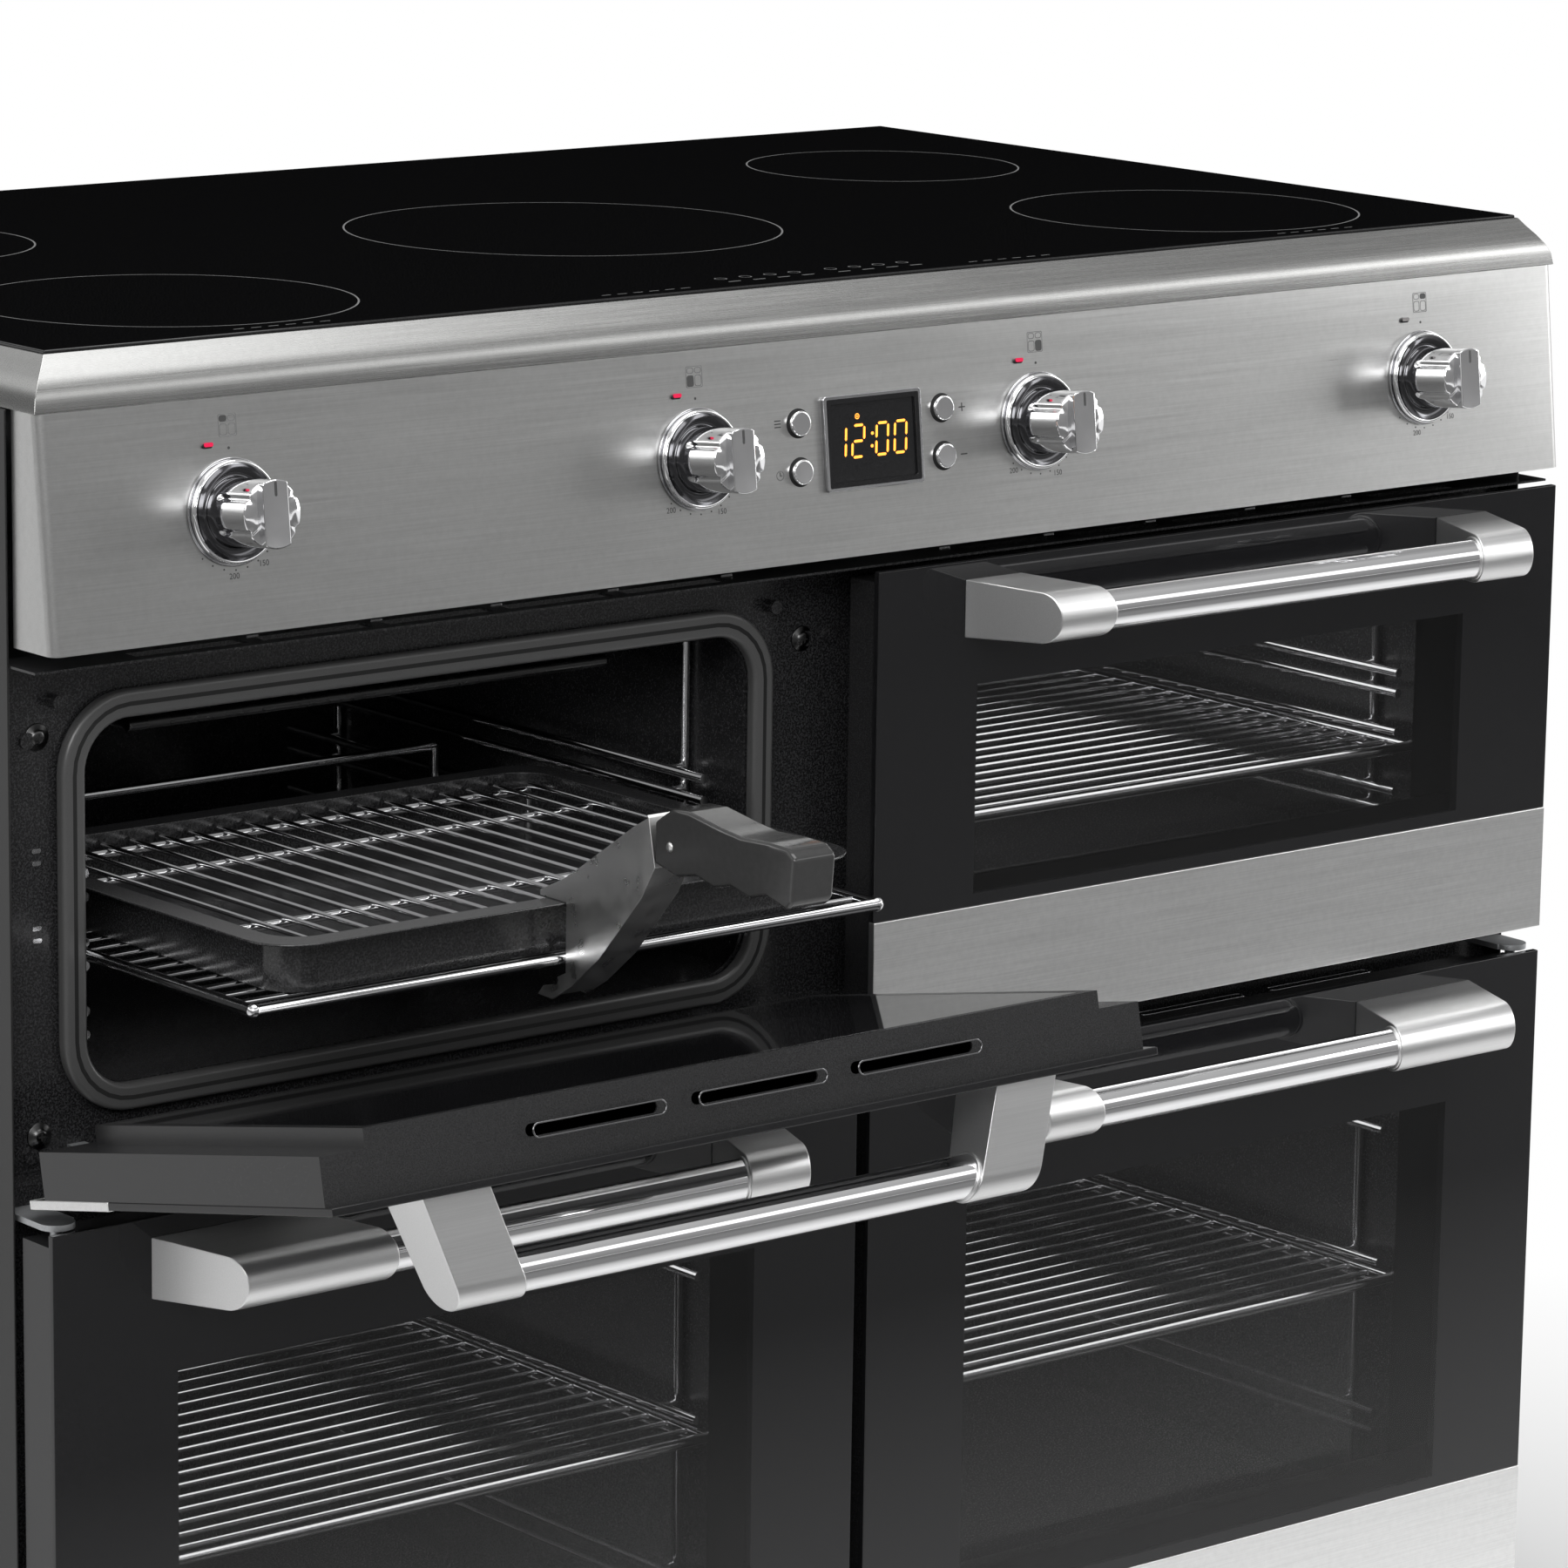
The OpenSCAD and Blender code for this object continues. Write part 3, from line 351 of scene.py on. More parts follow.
class Nodes:
    """A short way to build a material's node tree."""

    def __init__(self, name: str) -> None:
        """Start an empty material with a principled shader.

        Args:
            name: The material's name.
        """
        self.material = bpy.data.materials.new(name)
        self.material.use_nodes = True
        self.tree = self.material.node_tree
        self.shader = self.tree.nodes["Principled BSDF"]
        self.output = self.tree.nodes["Material Output"]
        self.coordinates = self.tree.nodes.new("ShaderNodeTexCoord").outputs["Object"]

    def add(self, kind: str, settings: dict | None = None,
            **inputs: float | tuple | bpy.types.NodeSocket) -> bpy.types.Node:
        """Add a node, set its properties and feed its inputs.

        Args:
            kind: Blender's node type.
            settings: Node properties.
            **inputs: Values or sockets by input name, with underscores for spaces.

        Returns:
            The node.
        """
        node = self.tree.nodes.new(kind)
        for key, value in (settings or {}).items():
            setattr(node, key, value)
        for key, value in inputs.items():
            self.feed(node, key.replace("_", " "), value)
        return node

    def feed(self, node: bpy.types.Node, key: str | int,
             value: float | tuple | bpy.types.NodeSocket) -> None:
        """Set one input, from a number, a colour or a socket.

        Args:
            node: The node.
            key: The input's name or number.
            value: What goes in.
        """
        socket = node.inputs[int(key)] if str(key).isdigit() else node.inputs[key]
        if isinstance(value, bpy.types.NodeSocket):
            self.tree.links.new(value, socket)
        else:
            socket.default_value = value

    def math(self, operation: str, *values: float | bpy.types.NodeSocket,
             clamp: bool = False) -> bpy.types.NodeSocket:
        """The result of a sum on numbers or sockets.

        Args:
            operation: Blender's name of the sum.
            *values: What goes in, in order.
            clamp: Whether the result stays between zero and one.

        Returns:
            The result's socket.
        """
        node = self.add("ShaderNodeMath", {"operation": operation, "use_clamp": clamp})
        for n, value in enumerate(values):
            self.feed(node, n, value)
        return node.outputs[0]

    def blend(self, share: bpy.types.NodeSocket, *shaders: bpy.types.Node) -> bpy.types.Node:
        """The first shader giving way to the second as the share grows."""
        node = self.add("ShaderNodeMixShader")
        for n, value in enumerate((share, *(shader.outputs[0] for shader in shaders))):
            self.feed(node, n, value)
        return node

    def stretched(self, scale: tuple) -> bpy.types.NodeSocket:
        """Object coordinates, scaled along each axis."""
        return self.add("ShaderNodeMapping", Vector=self.coordinates, Scale=scale).outputs[0]

    def noise(self, vector: bpy.types.NodeSocket, scale: float, detail: float = 2.0,
              rough: float = 0.5) -> bpy.types.NodeSocket:
        """A noise pattern's strength at those coordinates."""
        return self.add("ShaderNodeTexNoise", Vector=vector, Scale=scale, Detail=detail,
                        Roughness=rough).outputs["Fac"]

    def spread(self, value: bpy.types.NodeSocket, low: float, high: float, start: float = 0.0,
               end: float = 1.0) -> bpy.types.NodeSocket:
        """Map a value to a new range, and hold it at the range's ends.

        Args:
            value: The socket to map.
            low: Result at the start.
            high: Result at the end.
            start: The value that gives low.
            end: The value that gives high.

        Returns:
            The mapped socket.
        """
        node = self.add("ShaderNodeMapRange")
        for n, v in enumerate((value, start, end, low, high)):
            self.feed(node, n, v)
        return node.outputs[0]

    def shade(self, fac: bpy.types.NodeSocket, dark: tuple, light: tuple) -> bpy.types.NodeSocket:
        """A colour between two.

        Args:
            fac: Strength, zero for the first colour.
            dark: The first colour.
            light: The second colour.

        Returns:
            The colour's socket.
        """
        node = self.add("ShaderNodeMix", {"data_type": "RGBA"})
        for key, value in ((0, fac), (6, (*dark, 1)), (7, (*light, 1))):
            self.feed(node, key, value)
        return node.outputs[2]

    def bump(self, height: bpy.types.NodeSocket, strength: float, distance: float) -> None:
        """Raise the surface a little by a pattern."""
        node = self.add("ShaderNodeBump", Height=height, Strength=strength, Distance=distance)
        self.feed(self.shader, "Normal", node.outputs[0])

    def look(self, **inputs: float | tuple | bpy.types.NodeSocket) -> bpy.types.Material:
        """Feed the principled shader by input name and give the material."""
        for key, value in inputs.items():
            self.feed(self.shader, key.replace("_", " "), value)
        return self.material


@dataclass(frozen=True)
class Brushed:
    """Steel or aluminium brushed one way: long fine noise changes tone, gloss and height."""

    name: str
    tone: tuple = (0.50, 0.50, 0.495)
    rough: float = 0.30
    grain: Grain = Grain.ALONG_X
    contrast: float = 0.10
    mottle: float = 0.06

    def build(self) -> bpy.types.Material:
        """Make the material."""
        n = Nodes(self.name)
        along, across = 16, 1500
        scale = ((along, across, across) if self.grain is Grain.ALONG_X
                 else (across, across, along))
        lines = n.noise(n.stretched(scale), 1.0, 3.0)
        cloud = n.noise(n.coordinates, 260.0, 3.0, 0.6)
        c = self.contrast
        dark = tuple(t * (1 - c) for t in self.tone)
        light = tuple(min(1, t * (1 + c)) for t in self.tone)
        mix = n.math("MULTIPLY_ADD", cloud, self.mottle * 10, lines)
        n.bump(lines, 0.10, 0.00006)
        return n.look(
            Base_Color=n.shade(n.spread(mix, 0, 1, 0.35, 0.75 + self.mottle * 5), dark, light),
            Roughness=n.spread(lines, self.rough - 0.05, self.rough + 0.07),
            Metallic=1.0, Anisotropic=0.45)


@dataclass(frozen=True)
class Plated:
    """Chrome plate or polished steel, with a faint haze."""

    name: str
    tone: tuple = (0.72, 0.72, 0.73)
    rough: float = 0.06

    def build(self) -> bpy.types.Material:
        """Make the material."""
        n = Nodes(self.name)
        haze = n.noise(n.coordinates, 90.0, 2.0)
        return n.look(Base_Color=(*self.tone, 1), Metallic=1.0,
                      Roughness=n.spread(haze, self.rough * 0.6, self.rough * 1.5))


@dataclass(frozen=True)
class Enamel:
    """Vitreous enamel: a dark glossy coat with fine speckle and a slight orange peel."""

    name: str
    tone: tuple = (0.010, 0.010, 0.0105)
    speck: tuple = (0.045, 0.045, 0.047)
    rough: float = 0.16
    scale: float = 900.0
    peel: float = 0.10

    def build(self) -> bpy.types.Material:
        """Make the material."""
        n = Nodes(self.name)
        specks = n.noise(n.coordinates, self.scale, 2.0, 0.7)
        n.bump(n.noise(n.coordinates, self.scale * 0.4, 2.0), self.peel, 0.0001)
        return n.look(
            Base_Color=n.shade(n.spread(specks, 0, 1, 0.45, 0.75), self.tone, self.speck),
            Roughness=n.spread(specks, self.rough, self.rough + 0.12))


@dataclass(frozen=True)
class Moulded:
    """Plastic or rubber with a fine moulded texture."""

    name: str
    tone: tuple = (0.02, 0.02, 0.02)
    rough: float = 0.5
    scale: float = 1400.0

    def build(self) -> bpy.types.Material:
        """Make the material."""
        n = Nodes(self.name)
        fine = n.noise(n.coordinates, self.scale, 2.0)
        light = tuple(min(1, t * 1.25 + 0.002) for t in self.tone)
        n.bump(fine, 0.12, 0.00008)
        return n.look(Base_Color=n.shade(fine, self.tone, light),
                      Roughness=n.spread(fine, self.rough - 0.06, self.rough + 0.08))


@dataclass(frozen=True)
class PrintedGlass:
    """Door glass printed black on its back, clear only inside the window, with a soft edge.

    The clear part shows the oven to the camera, and dims what lights or mirrors in it more.
    """

    name: str
    window: tuple | None = None
    tone: tuple = (0.006, 0.006, 0.0065)
    clear: float = 0.90
    lamp_clear: float = 0.62
    soft: float = 0.0006

    def build(self) -> bpy.types.Material:
        """Make the material."""
        n = Nodes(self.name)
        specks = n.noise(n.coordinates, 1500.0, 1.0)
        light = tuple(t * 2.4 for t in self.tone)
        n.look(Base_Color=n.shade(n.spread(specks, 0, 1, 0.4, 0.8), self.tone, light),
               Roughness=0.035, IOR=1.5)
        if self.window is None:
            return n.material
        x0, x1, z0, z1 = self.window
        parts = n.add("ShaderNodeSeparateXYZ", Vector=n.coordinates).outputs
        inside = n.math("MULTIPLY", self.between(n, parts[0], x0, x1),
                        self.between(n, parts[2], z0, z1))
        seen = n.add("ShaderNodeLightPath").outputs["Is Camera Ray"]
        see = n.add("ShaderNodeBsdfTransparent", Color=n.spread(seen, self.lamp_clear, self.clear))
        gloss = n.add("ShaderNodeBsdfGlossy", Color=(1, 1, 1, 1), Roughness=0.03)
        edge = n.add("ShaderNodeFresnel", IOR=1.45).outputs[0]
        rear = n.add("ShaderNodeNewGeometry").outputs["Backfacing"]
        pane = n.blend(n.math("MULTIPLY", edge, n.spread(rear, 1.0, 0.0)), see, gloss)
        n.feed(n.output, "Surface", n.blend(inside, n.shader, pane).outputs[0])
        return n.material

    def between(self, n: Nodes, value: bpy.types.NodeSocket, low: float,
                high: float) -> bpy.types.NodeSocket:
        """One between two levels and nothing outside them, with a soft step.

        Args:
            n: The material's nodes.
            value: The coordinate.
            low: Low level.
            high: High level.

        Returns:
            The strength's socket.
        """
        away = n.math("ABSOLUTE", n.math("SUBTRACT", value, (low + high) / 2))
        half = (high - low) / 2
        return n.spread(away, 1.0, 0.0, half - self.soft, half)


@dataclass(frozen=True)
class Glow:
    """A lit figure or lamp."""

    name: str
    tone: tuple = (1.0, 0.35, 0.05)
    power: float = 1.0

    def build(self) -> bpy.types.Material:
        """Make the material."""
        tone = (*self.tone, 1)
        return Nodes(self.name).look(Base_Color=tone, Emission_Color=tone,
                                     Emission_Strength=self.power, Roughness=0.3)


Finish = Brushed | Plated | Enamel | Moulded | PrintedGlass | Glow


@dataclass
class Palette:
    """Every finish of the cooker, built once."""

    made: dict = field(default_factory=dict)

    def get(self, finish: Finish) -> bpy.types.Material:
        """The material of a finish.

        Args:
            finish: A finish description.

        Returns:
            Its material, made at the first call.
        """
        if finish.name not in self.made:
            self.made[finish.name] = finish.build()
        return self.made[finish.name]


STEEL = Brushed("brushed_stainless")
TRIM = Brushed("trim_stainless", tone=(0.30, 0.30, 0.295), rough=0.26)
BAND = Brushed("band_stainless", tone=(0.78, 0.78, 0.775), rough=0.32)
SATIN = Brushed("satin_aluminium", tone=(0.74, 0.74, 0.74), rough=0.36, contrast=0.04,
                mottle=0.01)
GALVANISED = Brushed("galvanised_sheet", tone=(0.45, 0.46, 0.47), rough=0.45, contrast=0.15)
CHROME = Plated("chrome_plate", tone=(0.84, 0.84, 0.85), rough=0.05)
WIRE = Plated("chrome_wire", tone=(0.66, 0.66, 0.67), rough=0.12)
POLISHED = Plated("polished_bracket", tone=(0.86, 0.86, 0.85), rough=0.30)
ENAMEL = Enamel("black_enamel")
DOOR_ENAMEL = Enamel("door_enamel", tone=(0.014, 0.014, 0.0145), speck=(0.03, 0.03, 0.031),
                     rough=0.18, scale=1700.0, peel=0.05)
# Painted highlight: the rolled slot lips are the door's enamel, but get this lighter grey metal so
# that they catch the light.
LIP_WITH_PAINTED_HIGHLIGHT = Plated("slot_lips_painted_highlight", tone=(0.20, 0.20, 0.205), rough=0.14)
OVEN = Enamel("oven_enamel", tone=(0.008, 0.008, 0.0085), speck=(0.036, 0.036, 0.038),
              rough=0.2)
PAN = Enamel("pan_enamel", tone=(0.014, 0.014, 0.0145), speck=(0.05, 0.05, 0.052), rough=0.14)
PAINT = Enamel("cabinet_paint", tone=(0.008, 0.008, 0.008), speck=(0.014, 0.014, 0.014),
               rough=0.32)
HOB_GLASS = Enamel("hob_glass", tone=(0.0015, 0.0015, 0.0016), speck=(0.016, 0.016, 0.017),
                   rough=0.02, scale=1300.0, peel=0.0)
BLACK_GLASS = PrintedGlass("black_glass")
RUBBER = Moulded("seal_silicone", tone=(0.055, 0.055, 0.055), rough=0.30)
GRIP = Moulded("grip_plastic", tone=(0.03, 0.03, 0.03), rough=0.12, scale=300.0)
PLASTIC = Moulded("inner_plastic", tone=(0.12, 0.12, 0.12), rough=0.5)
INK = Moulded("symbol_ink", tone=(0.035, 0.035, 0.035), rough=0.45)
GREY_INK = Moulded("outline_ink", tone=(0.12, 0.12, 0.12), rough=0.45)
HOB_INK = Moulded("hob_print", tone=(0.16, 0.16, 0.16), rough=0.4)
DISH = Plated("knob_dish", tone=(0.10, 0.10, 0.105), rough=0.14)
BEZEL = Plated("clock_bezel", tone=(0.45, 0.45, 0.46), rough=0.12)
SCREW = Plated("blackened_screw", tone=(0.07, 0.07, 0.07), rough=0.25)
# Painted shade: near-black for flat marks that stand in for the shade in the seal grooves, screw
# slots and button gaps.
GAP_SHADE = Moulded("painted_gap_shade", tone=(0.002, 0.002, 0.002), rough=0.8)
AMBER = Glow("clock_digits", tone=(1.0, 0.33, 0.04), power=1.6)
LAMP_ON = Glow("lamp_magenta", tone=(0.55, 0.004, 0.05), power=0.35)
LAMP_OFF = Moulded("lamp_grey", tone=(0.16, 0.15, 0.15), rough=0.3)


@dataclass
class Workshop:
    """What every sub-assembly needs: the datum and the palette."""

    datum: Datum
    palette: Palette = field(default_factory=Palette)
    slots: dict = field(default_factory=dict)

    def paint(self, piece: bpy.types.Object, finish: Finish) -> bpy.types.Object:
        """Give a piece one finish.

        Args:
            piece: The object.
            finish: The finish description.

        Returns:
            The same object.
        """
        piece.data.materials.clear()
        piece.data.materials.append(self.palette.get(finish))
        return piece

    def dress(self, node: str, finish: Finish, edge: float = 0.0, segments: int = 2,
              angle: float = 32.0) -> bpy.types.Object:
        """Finish a CAD node: a copy with its triangles joined, edges rounded, that replaces it.

        Args:
            node: The CAD node.
            finish: The finish description.
            edge: Edge radius in millimetres, none if zero.
            segments: Steps in each rounded edge.
            angle: Only edges sharper than this are rounded or kept crisp, in degrees.

        Returns:
            The new piece.
        """
        piece = link(self.joined(frame["nodes"][node].data, node + "_finished"), self.body_of(node))
        self.paint(piece, finish)
        if edge:
            self.round_edges(piece, edge, segments, angle)
        else:
            self.keep_crisp(piece, angle)
        self.stand_for(piece, node)
        return piece

    def facing(self, x: float, y: float, z: float) -> Place:
        """Put shapes drawn on an upright plane into the frame, out towards the front.

        Args:
            x: The plane's zero across the cooker, in millimetres.
            y: Its place behind the doors' glass.
            z: Its zero in height.

        Returns:
            The function that places points.
        """
        def place(u: np.ndarray, w: np.ndarray, out: np.ndarray) -> np.ndarray:
            """Plane coordinates to the frame."""
            return np.stack([x + u, self.datum.front + y - out, z + w], -1) * MM

        return place

    def add(self, name: str, shape: Shape, body: str, finish: Finish,
            smooth: bool = True) -> bpy.types.Object:
        """Make a new piece and give it its finish.

        Args:
            name: The piece's name.
            shape: Points and faces.
            body: The CAD body it moves with.
            finish: The finish description.
            smooth: Whether the faces are shaded smooth.

        Returns:
            The new piece.
        """
        return self.paint(make_object(name, *shape, body, smooth), finish)

    def stand_for(self, piece: bpy.types.Object, node: str) -> None:
        """Let a piece take a node's place: the node is hidden."""
        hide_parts(node)
        self.slots.get(node, "")

    def body_of(self, node: str) -> str:
        """The CAD body that a node belongs to."""
        bodies = frame["record"]["behaviour"]["bodies"]
        return next(body for body, nodes in bodies.items() if node in nodes)

    @staticmethod
    def joined(source: bpy.types.Mesh, name: str) -> bpy.types.Mesh:
        """A copy of a CAD mesh, corners merged to a hundredth of a millimetre, flats made whole.

        Args:
            source: The node's own mesh, which stays as it is.
            name: The copy's name.

        Returns:
            The new mesh.
        """
        form = bmesh.new()
        form.from_mesh(source)
        bmesh.ops.remove_doubles(form, verts=form.verts, dist=0.00001)
        bmesh.ops.dissolve_degenerate(form, edges=form.edges, dist=0.000005)
        bmesh.ops.dissolve_limit(form, angle_limit=math.radians(0.4), verts=form.verts,
                                 edges=form.edges)
        mesh = bpy.data.meshes.new(name)
        form.to_mesh(mesh)
        form.free()
        for extra in ("custom_normal", "sharp_face", "sharp_edge"):
            if extra in mesh.attributes:
                mesh.attributes.remove(mesh.attributes[extra])
        return mesh

    @staticmethod
    def keep_crisp(piece: bpy.types.Object, angle: float) -> None:
        """Shade edges sharper than an angle in degrees as sharp."""
        piece.modifiers.new("crisp", "EDGE_SPLIT").split_angle = math.radians(angle)

    @staticmethod
    def round_edges(piece: bpy.types.Object, edge: float, segments: int = 3,
                    angle: float = 40.0) -> None:
        """Round the edges of a piece.

        Args:
            piece: The object.
            edge: Edge radius in millimetres.
            segments: Steps in each edge.
            angle: Only edges sharper than this, in degrees.
        """
        bevel = piece.modifiers.new("edges", "BEVEL")
        bevel.width = edge * MM
        bevel.segments = segments
        bevel.limit_method = "ANGLE"
        bevel.angle_limit = math.radians(angle)
        piece.modifiers.new("even", "WEIGHTED_NORMAL").keep_sharp = True


# ---- sub-assemblies ---------------------------------------------------------


@dataclass
class Cabinet:
    """The body: side panels, back, plinth, frame, liners and what is fixed inside them."""

    shop: Workshop
    plain: dict = field(default_factory=lambda: {
        "side_panels": (PAINT, 0.4), "back_panel": (GALVANISED, 0.0),
        "base_tray": (GALVANISED, 0.0), "plinth": (PAINT, 0.0), "feet": (PLASTIC, 0.6),
        "front_frame": (ENAMEL, 0.0),
        "upper_liners": (OVEN, 0.0), "lower_liners": (OVEN, 0.0), "door_seals": (RUBBER, 2.6),
        "side_racks": (WIRE, 0.0), "door_hinges": (GALVANISED, 0.4),
        "heating_elements": (SCREW, 0.0), "fan_covers": (OVEN, 0.0),
        "fan_motors": (GALVANISED, 0.0),
        "left_oven_fan": (SATIN, 0.0), "right_oven_fan": (SATIN, 0.0),
        "induction_units": (GALVANISED, 0.0), "switch_bodies": (PLASTIC, 0.0),
        "terminal_box": (PLASTIC, 0.5)})
    seal: tuple = (33.7, 28.9, 466.3, 18.1, 38)
    seal_face: float = 36.3
    groove: tuple = (5.4, 7.6)
    frame_face: float = 44.0
    screws_at: tuple = ((-476.2, 713.9), (-10.5, 711.0), (-477.0, 520.0))
    cross: tuple = (2.0, 0.4)
    keepers_at: tuple = (656.1, 618.5)
    keeper_x: tuple = (-479.5, -474.5)
    ledge_pitch: float = 72.65

    def build(self) -> None:
        """Finish every node of the body."""
        for node, (finish, edge) in self.plain.items():
            self.shop.dress(node, finish, edge, 4 if node == "door_seals" else 2)
        self.grooves()
        self.ledge()
        self.screws()
        self.keepers()

    def grooves(self) -> None:
        """A flat near-black band between the two lips of each door seal: painted shade in place of
        the groove's shade.
        """
        d = self.shop.datum
        x0, up, x1, down, r = self.seal
        parts = []
        for low, high in ((d.up_low, d.up_top), (d.low_low, d.low_top)):
            for side in Side:
                rings = [rounded(x0 + inset, low + up + inset, x1 - inset, high - down - inset,
                                 r - inset) * [side.value, 1] for inset in self.groove]
                parts.append(band(*rings, self.shop.facing(0, self.seal_face, 0), 0.05))
        # painted shade: the band lies flat on the seal's face where the groove would be in shade
        self.shop.add("seal_groove_shade", merge(parts), "cooker", GAP_SHADE)

    def ledge(self) -> None:
        """A small chrome dash at each slot in the ledge: a painted highlight in place of the glint
        there.
        """
        d = self.shop.datum

        def place(u: np.ndarray, w: np.ndarray, out: np.ndarray) -> np.ndarray:
            """Ledge coordinates to the frame."""
            return np.stack([u, d.front + w, d.up_top + 2.3 + out], -1) * MM

        middles = [n * self.ledge_pitch for n in range(-5, 6) if n]
        lips = [prism(rounded(x - 3.5, 28.4, x + 3.5, 29.6, 0.5, 4), place, 0.0, 0.5)
                for x in middles]
        # painted highlight: chrome dashes on the enamelled ledge stand in for glints
        self.shop.add("ledge_glints", merge(lips), "cooker", WIRE, False)

    def screws(self) -> None:
        """Washer-head screws with a crossed slot: a turned profile, and two crossed near-black bars
        that stand in for the slot, the screws' own black with painted shade in the recess.
        """
        profile = np.array([[0.0, 3.0], [2.4, 2.9], [3.6, 2.3], [4.1, 1.2], [6.4, 1.0], [6.7, 0.6],
                            [6.7, 0.0], [0.0, 0.0]])
        head, faces = revolve(profile, 28)
        long, thin = self.cross
        heads, slot_shades = [], []
        for x, z in self.screws_at:
            place = self.shop.facing(x, self.frame_face, z)
            heads.append((place(head[:, 0], head[:, 2], head[:, 1]), faces))
            # painted shade: two near-black bars on the head in place of the recessed cross slot
            for u, w, top in ((long, thin, 3.05), (thin, long, 3.06)):
                slot_shades.append(prism(rounded(-u, -w, u, w, 0.3, 3), place, 2.6, top))
        self.shop.add("frame_screws", merge(heads), "cooker", SCREW)
        self.shop.add("screw_slot_shade", merge(slot_shades), "cooker", GAP_SHADE, False)

    def keepers(self) -> None:
        """The bright keepers beside the grill, each a pair of short bars."""
        place = self.shop.facing(0, self.frame_face, 0)
        x0, x1 = self.keeper_x
        bars = [prism(rounded(x0, z + step - 1.1, x1, z + step + 1.1, 0.9, 4), place, 0.0, 0.7)
                for z in self.keepers_at for step in (-3.0, 3.0)]
        self.shop.add("frame_keepers", merge(bars), "cooker", WIRE, False)


@dataclass
class Hob:
    """The glass hob with its printed zones and touch marks, and the steel trim."""

    shop: Workshop
    zones: tuple = ((-340, 140, 97), (-340, 400, 80), (0, 262, 118), (340, 140, 97),
                    (340, 400, 80))
    line: float = 1.0
    key_x: tuple = (-60, -44, -28, -12, 12, 28, 44, 60)
    scale_x: tuple = (-340, -120, 120, 340)
    thick: float = 0.03

    def build(self) -> None:
        """Finish the hob's nodes and print its marks."""
        self.shop.dress("hob_glass", HOB_GLASS, 0.8)
        self.shop.dress("hob_trim", TRIM, 0.35)
        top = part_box("hob_glass")[1][2] / MM

        def place(x: np.ndarray, y: np.ndarray, depth: np.ndarray) -> np.ndarray:
            """Millimetres on the glass to metres in the frame."""
            return np.stack([x, y + self.shop.datum.front, top + depth], -1) * MM

        pairs = []
        circle, small = ring_of(96), ring_of(96)[::4]
        for x, y, r in self.zones:
            pairs.append((circle * r + [x, y], circle * (r - self.line) + [x, y]))
        for x in self.key_x:
            mark = rounded(x - 4, 40, x + 4, 41.4, 0.6, 3)
            pairs.append((mark, mark * 0.02 + [x * 0.98, 40.7 * 0.98]))
            pairs.append((small * 3.4 + [x, 52], small * 2.8 + [x, 52]))
        for x in (start + n * 10 for start in self.scale_x for n in range(6)):
            mark = rounded(x - 30, 33.4, x - 24, 34.4, 0.4, 3)
            pairs.append((mark, mark * 0.02 + [(x - 27) * 0.98, 33.9 * 0.98]))
        parts = [band(outer, inner, place, self.thick) for outer, inner in pairs]
        self.shop.add("hob_marks", merge(parts), "cooker", HOB_INK)


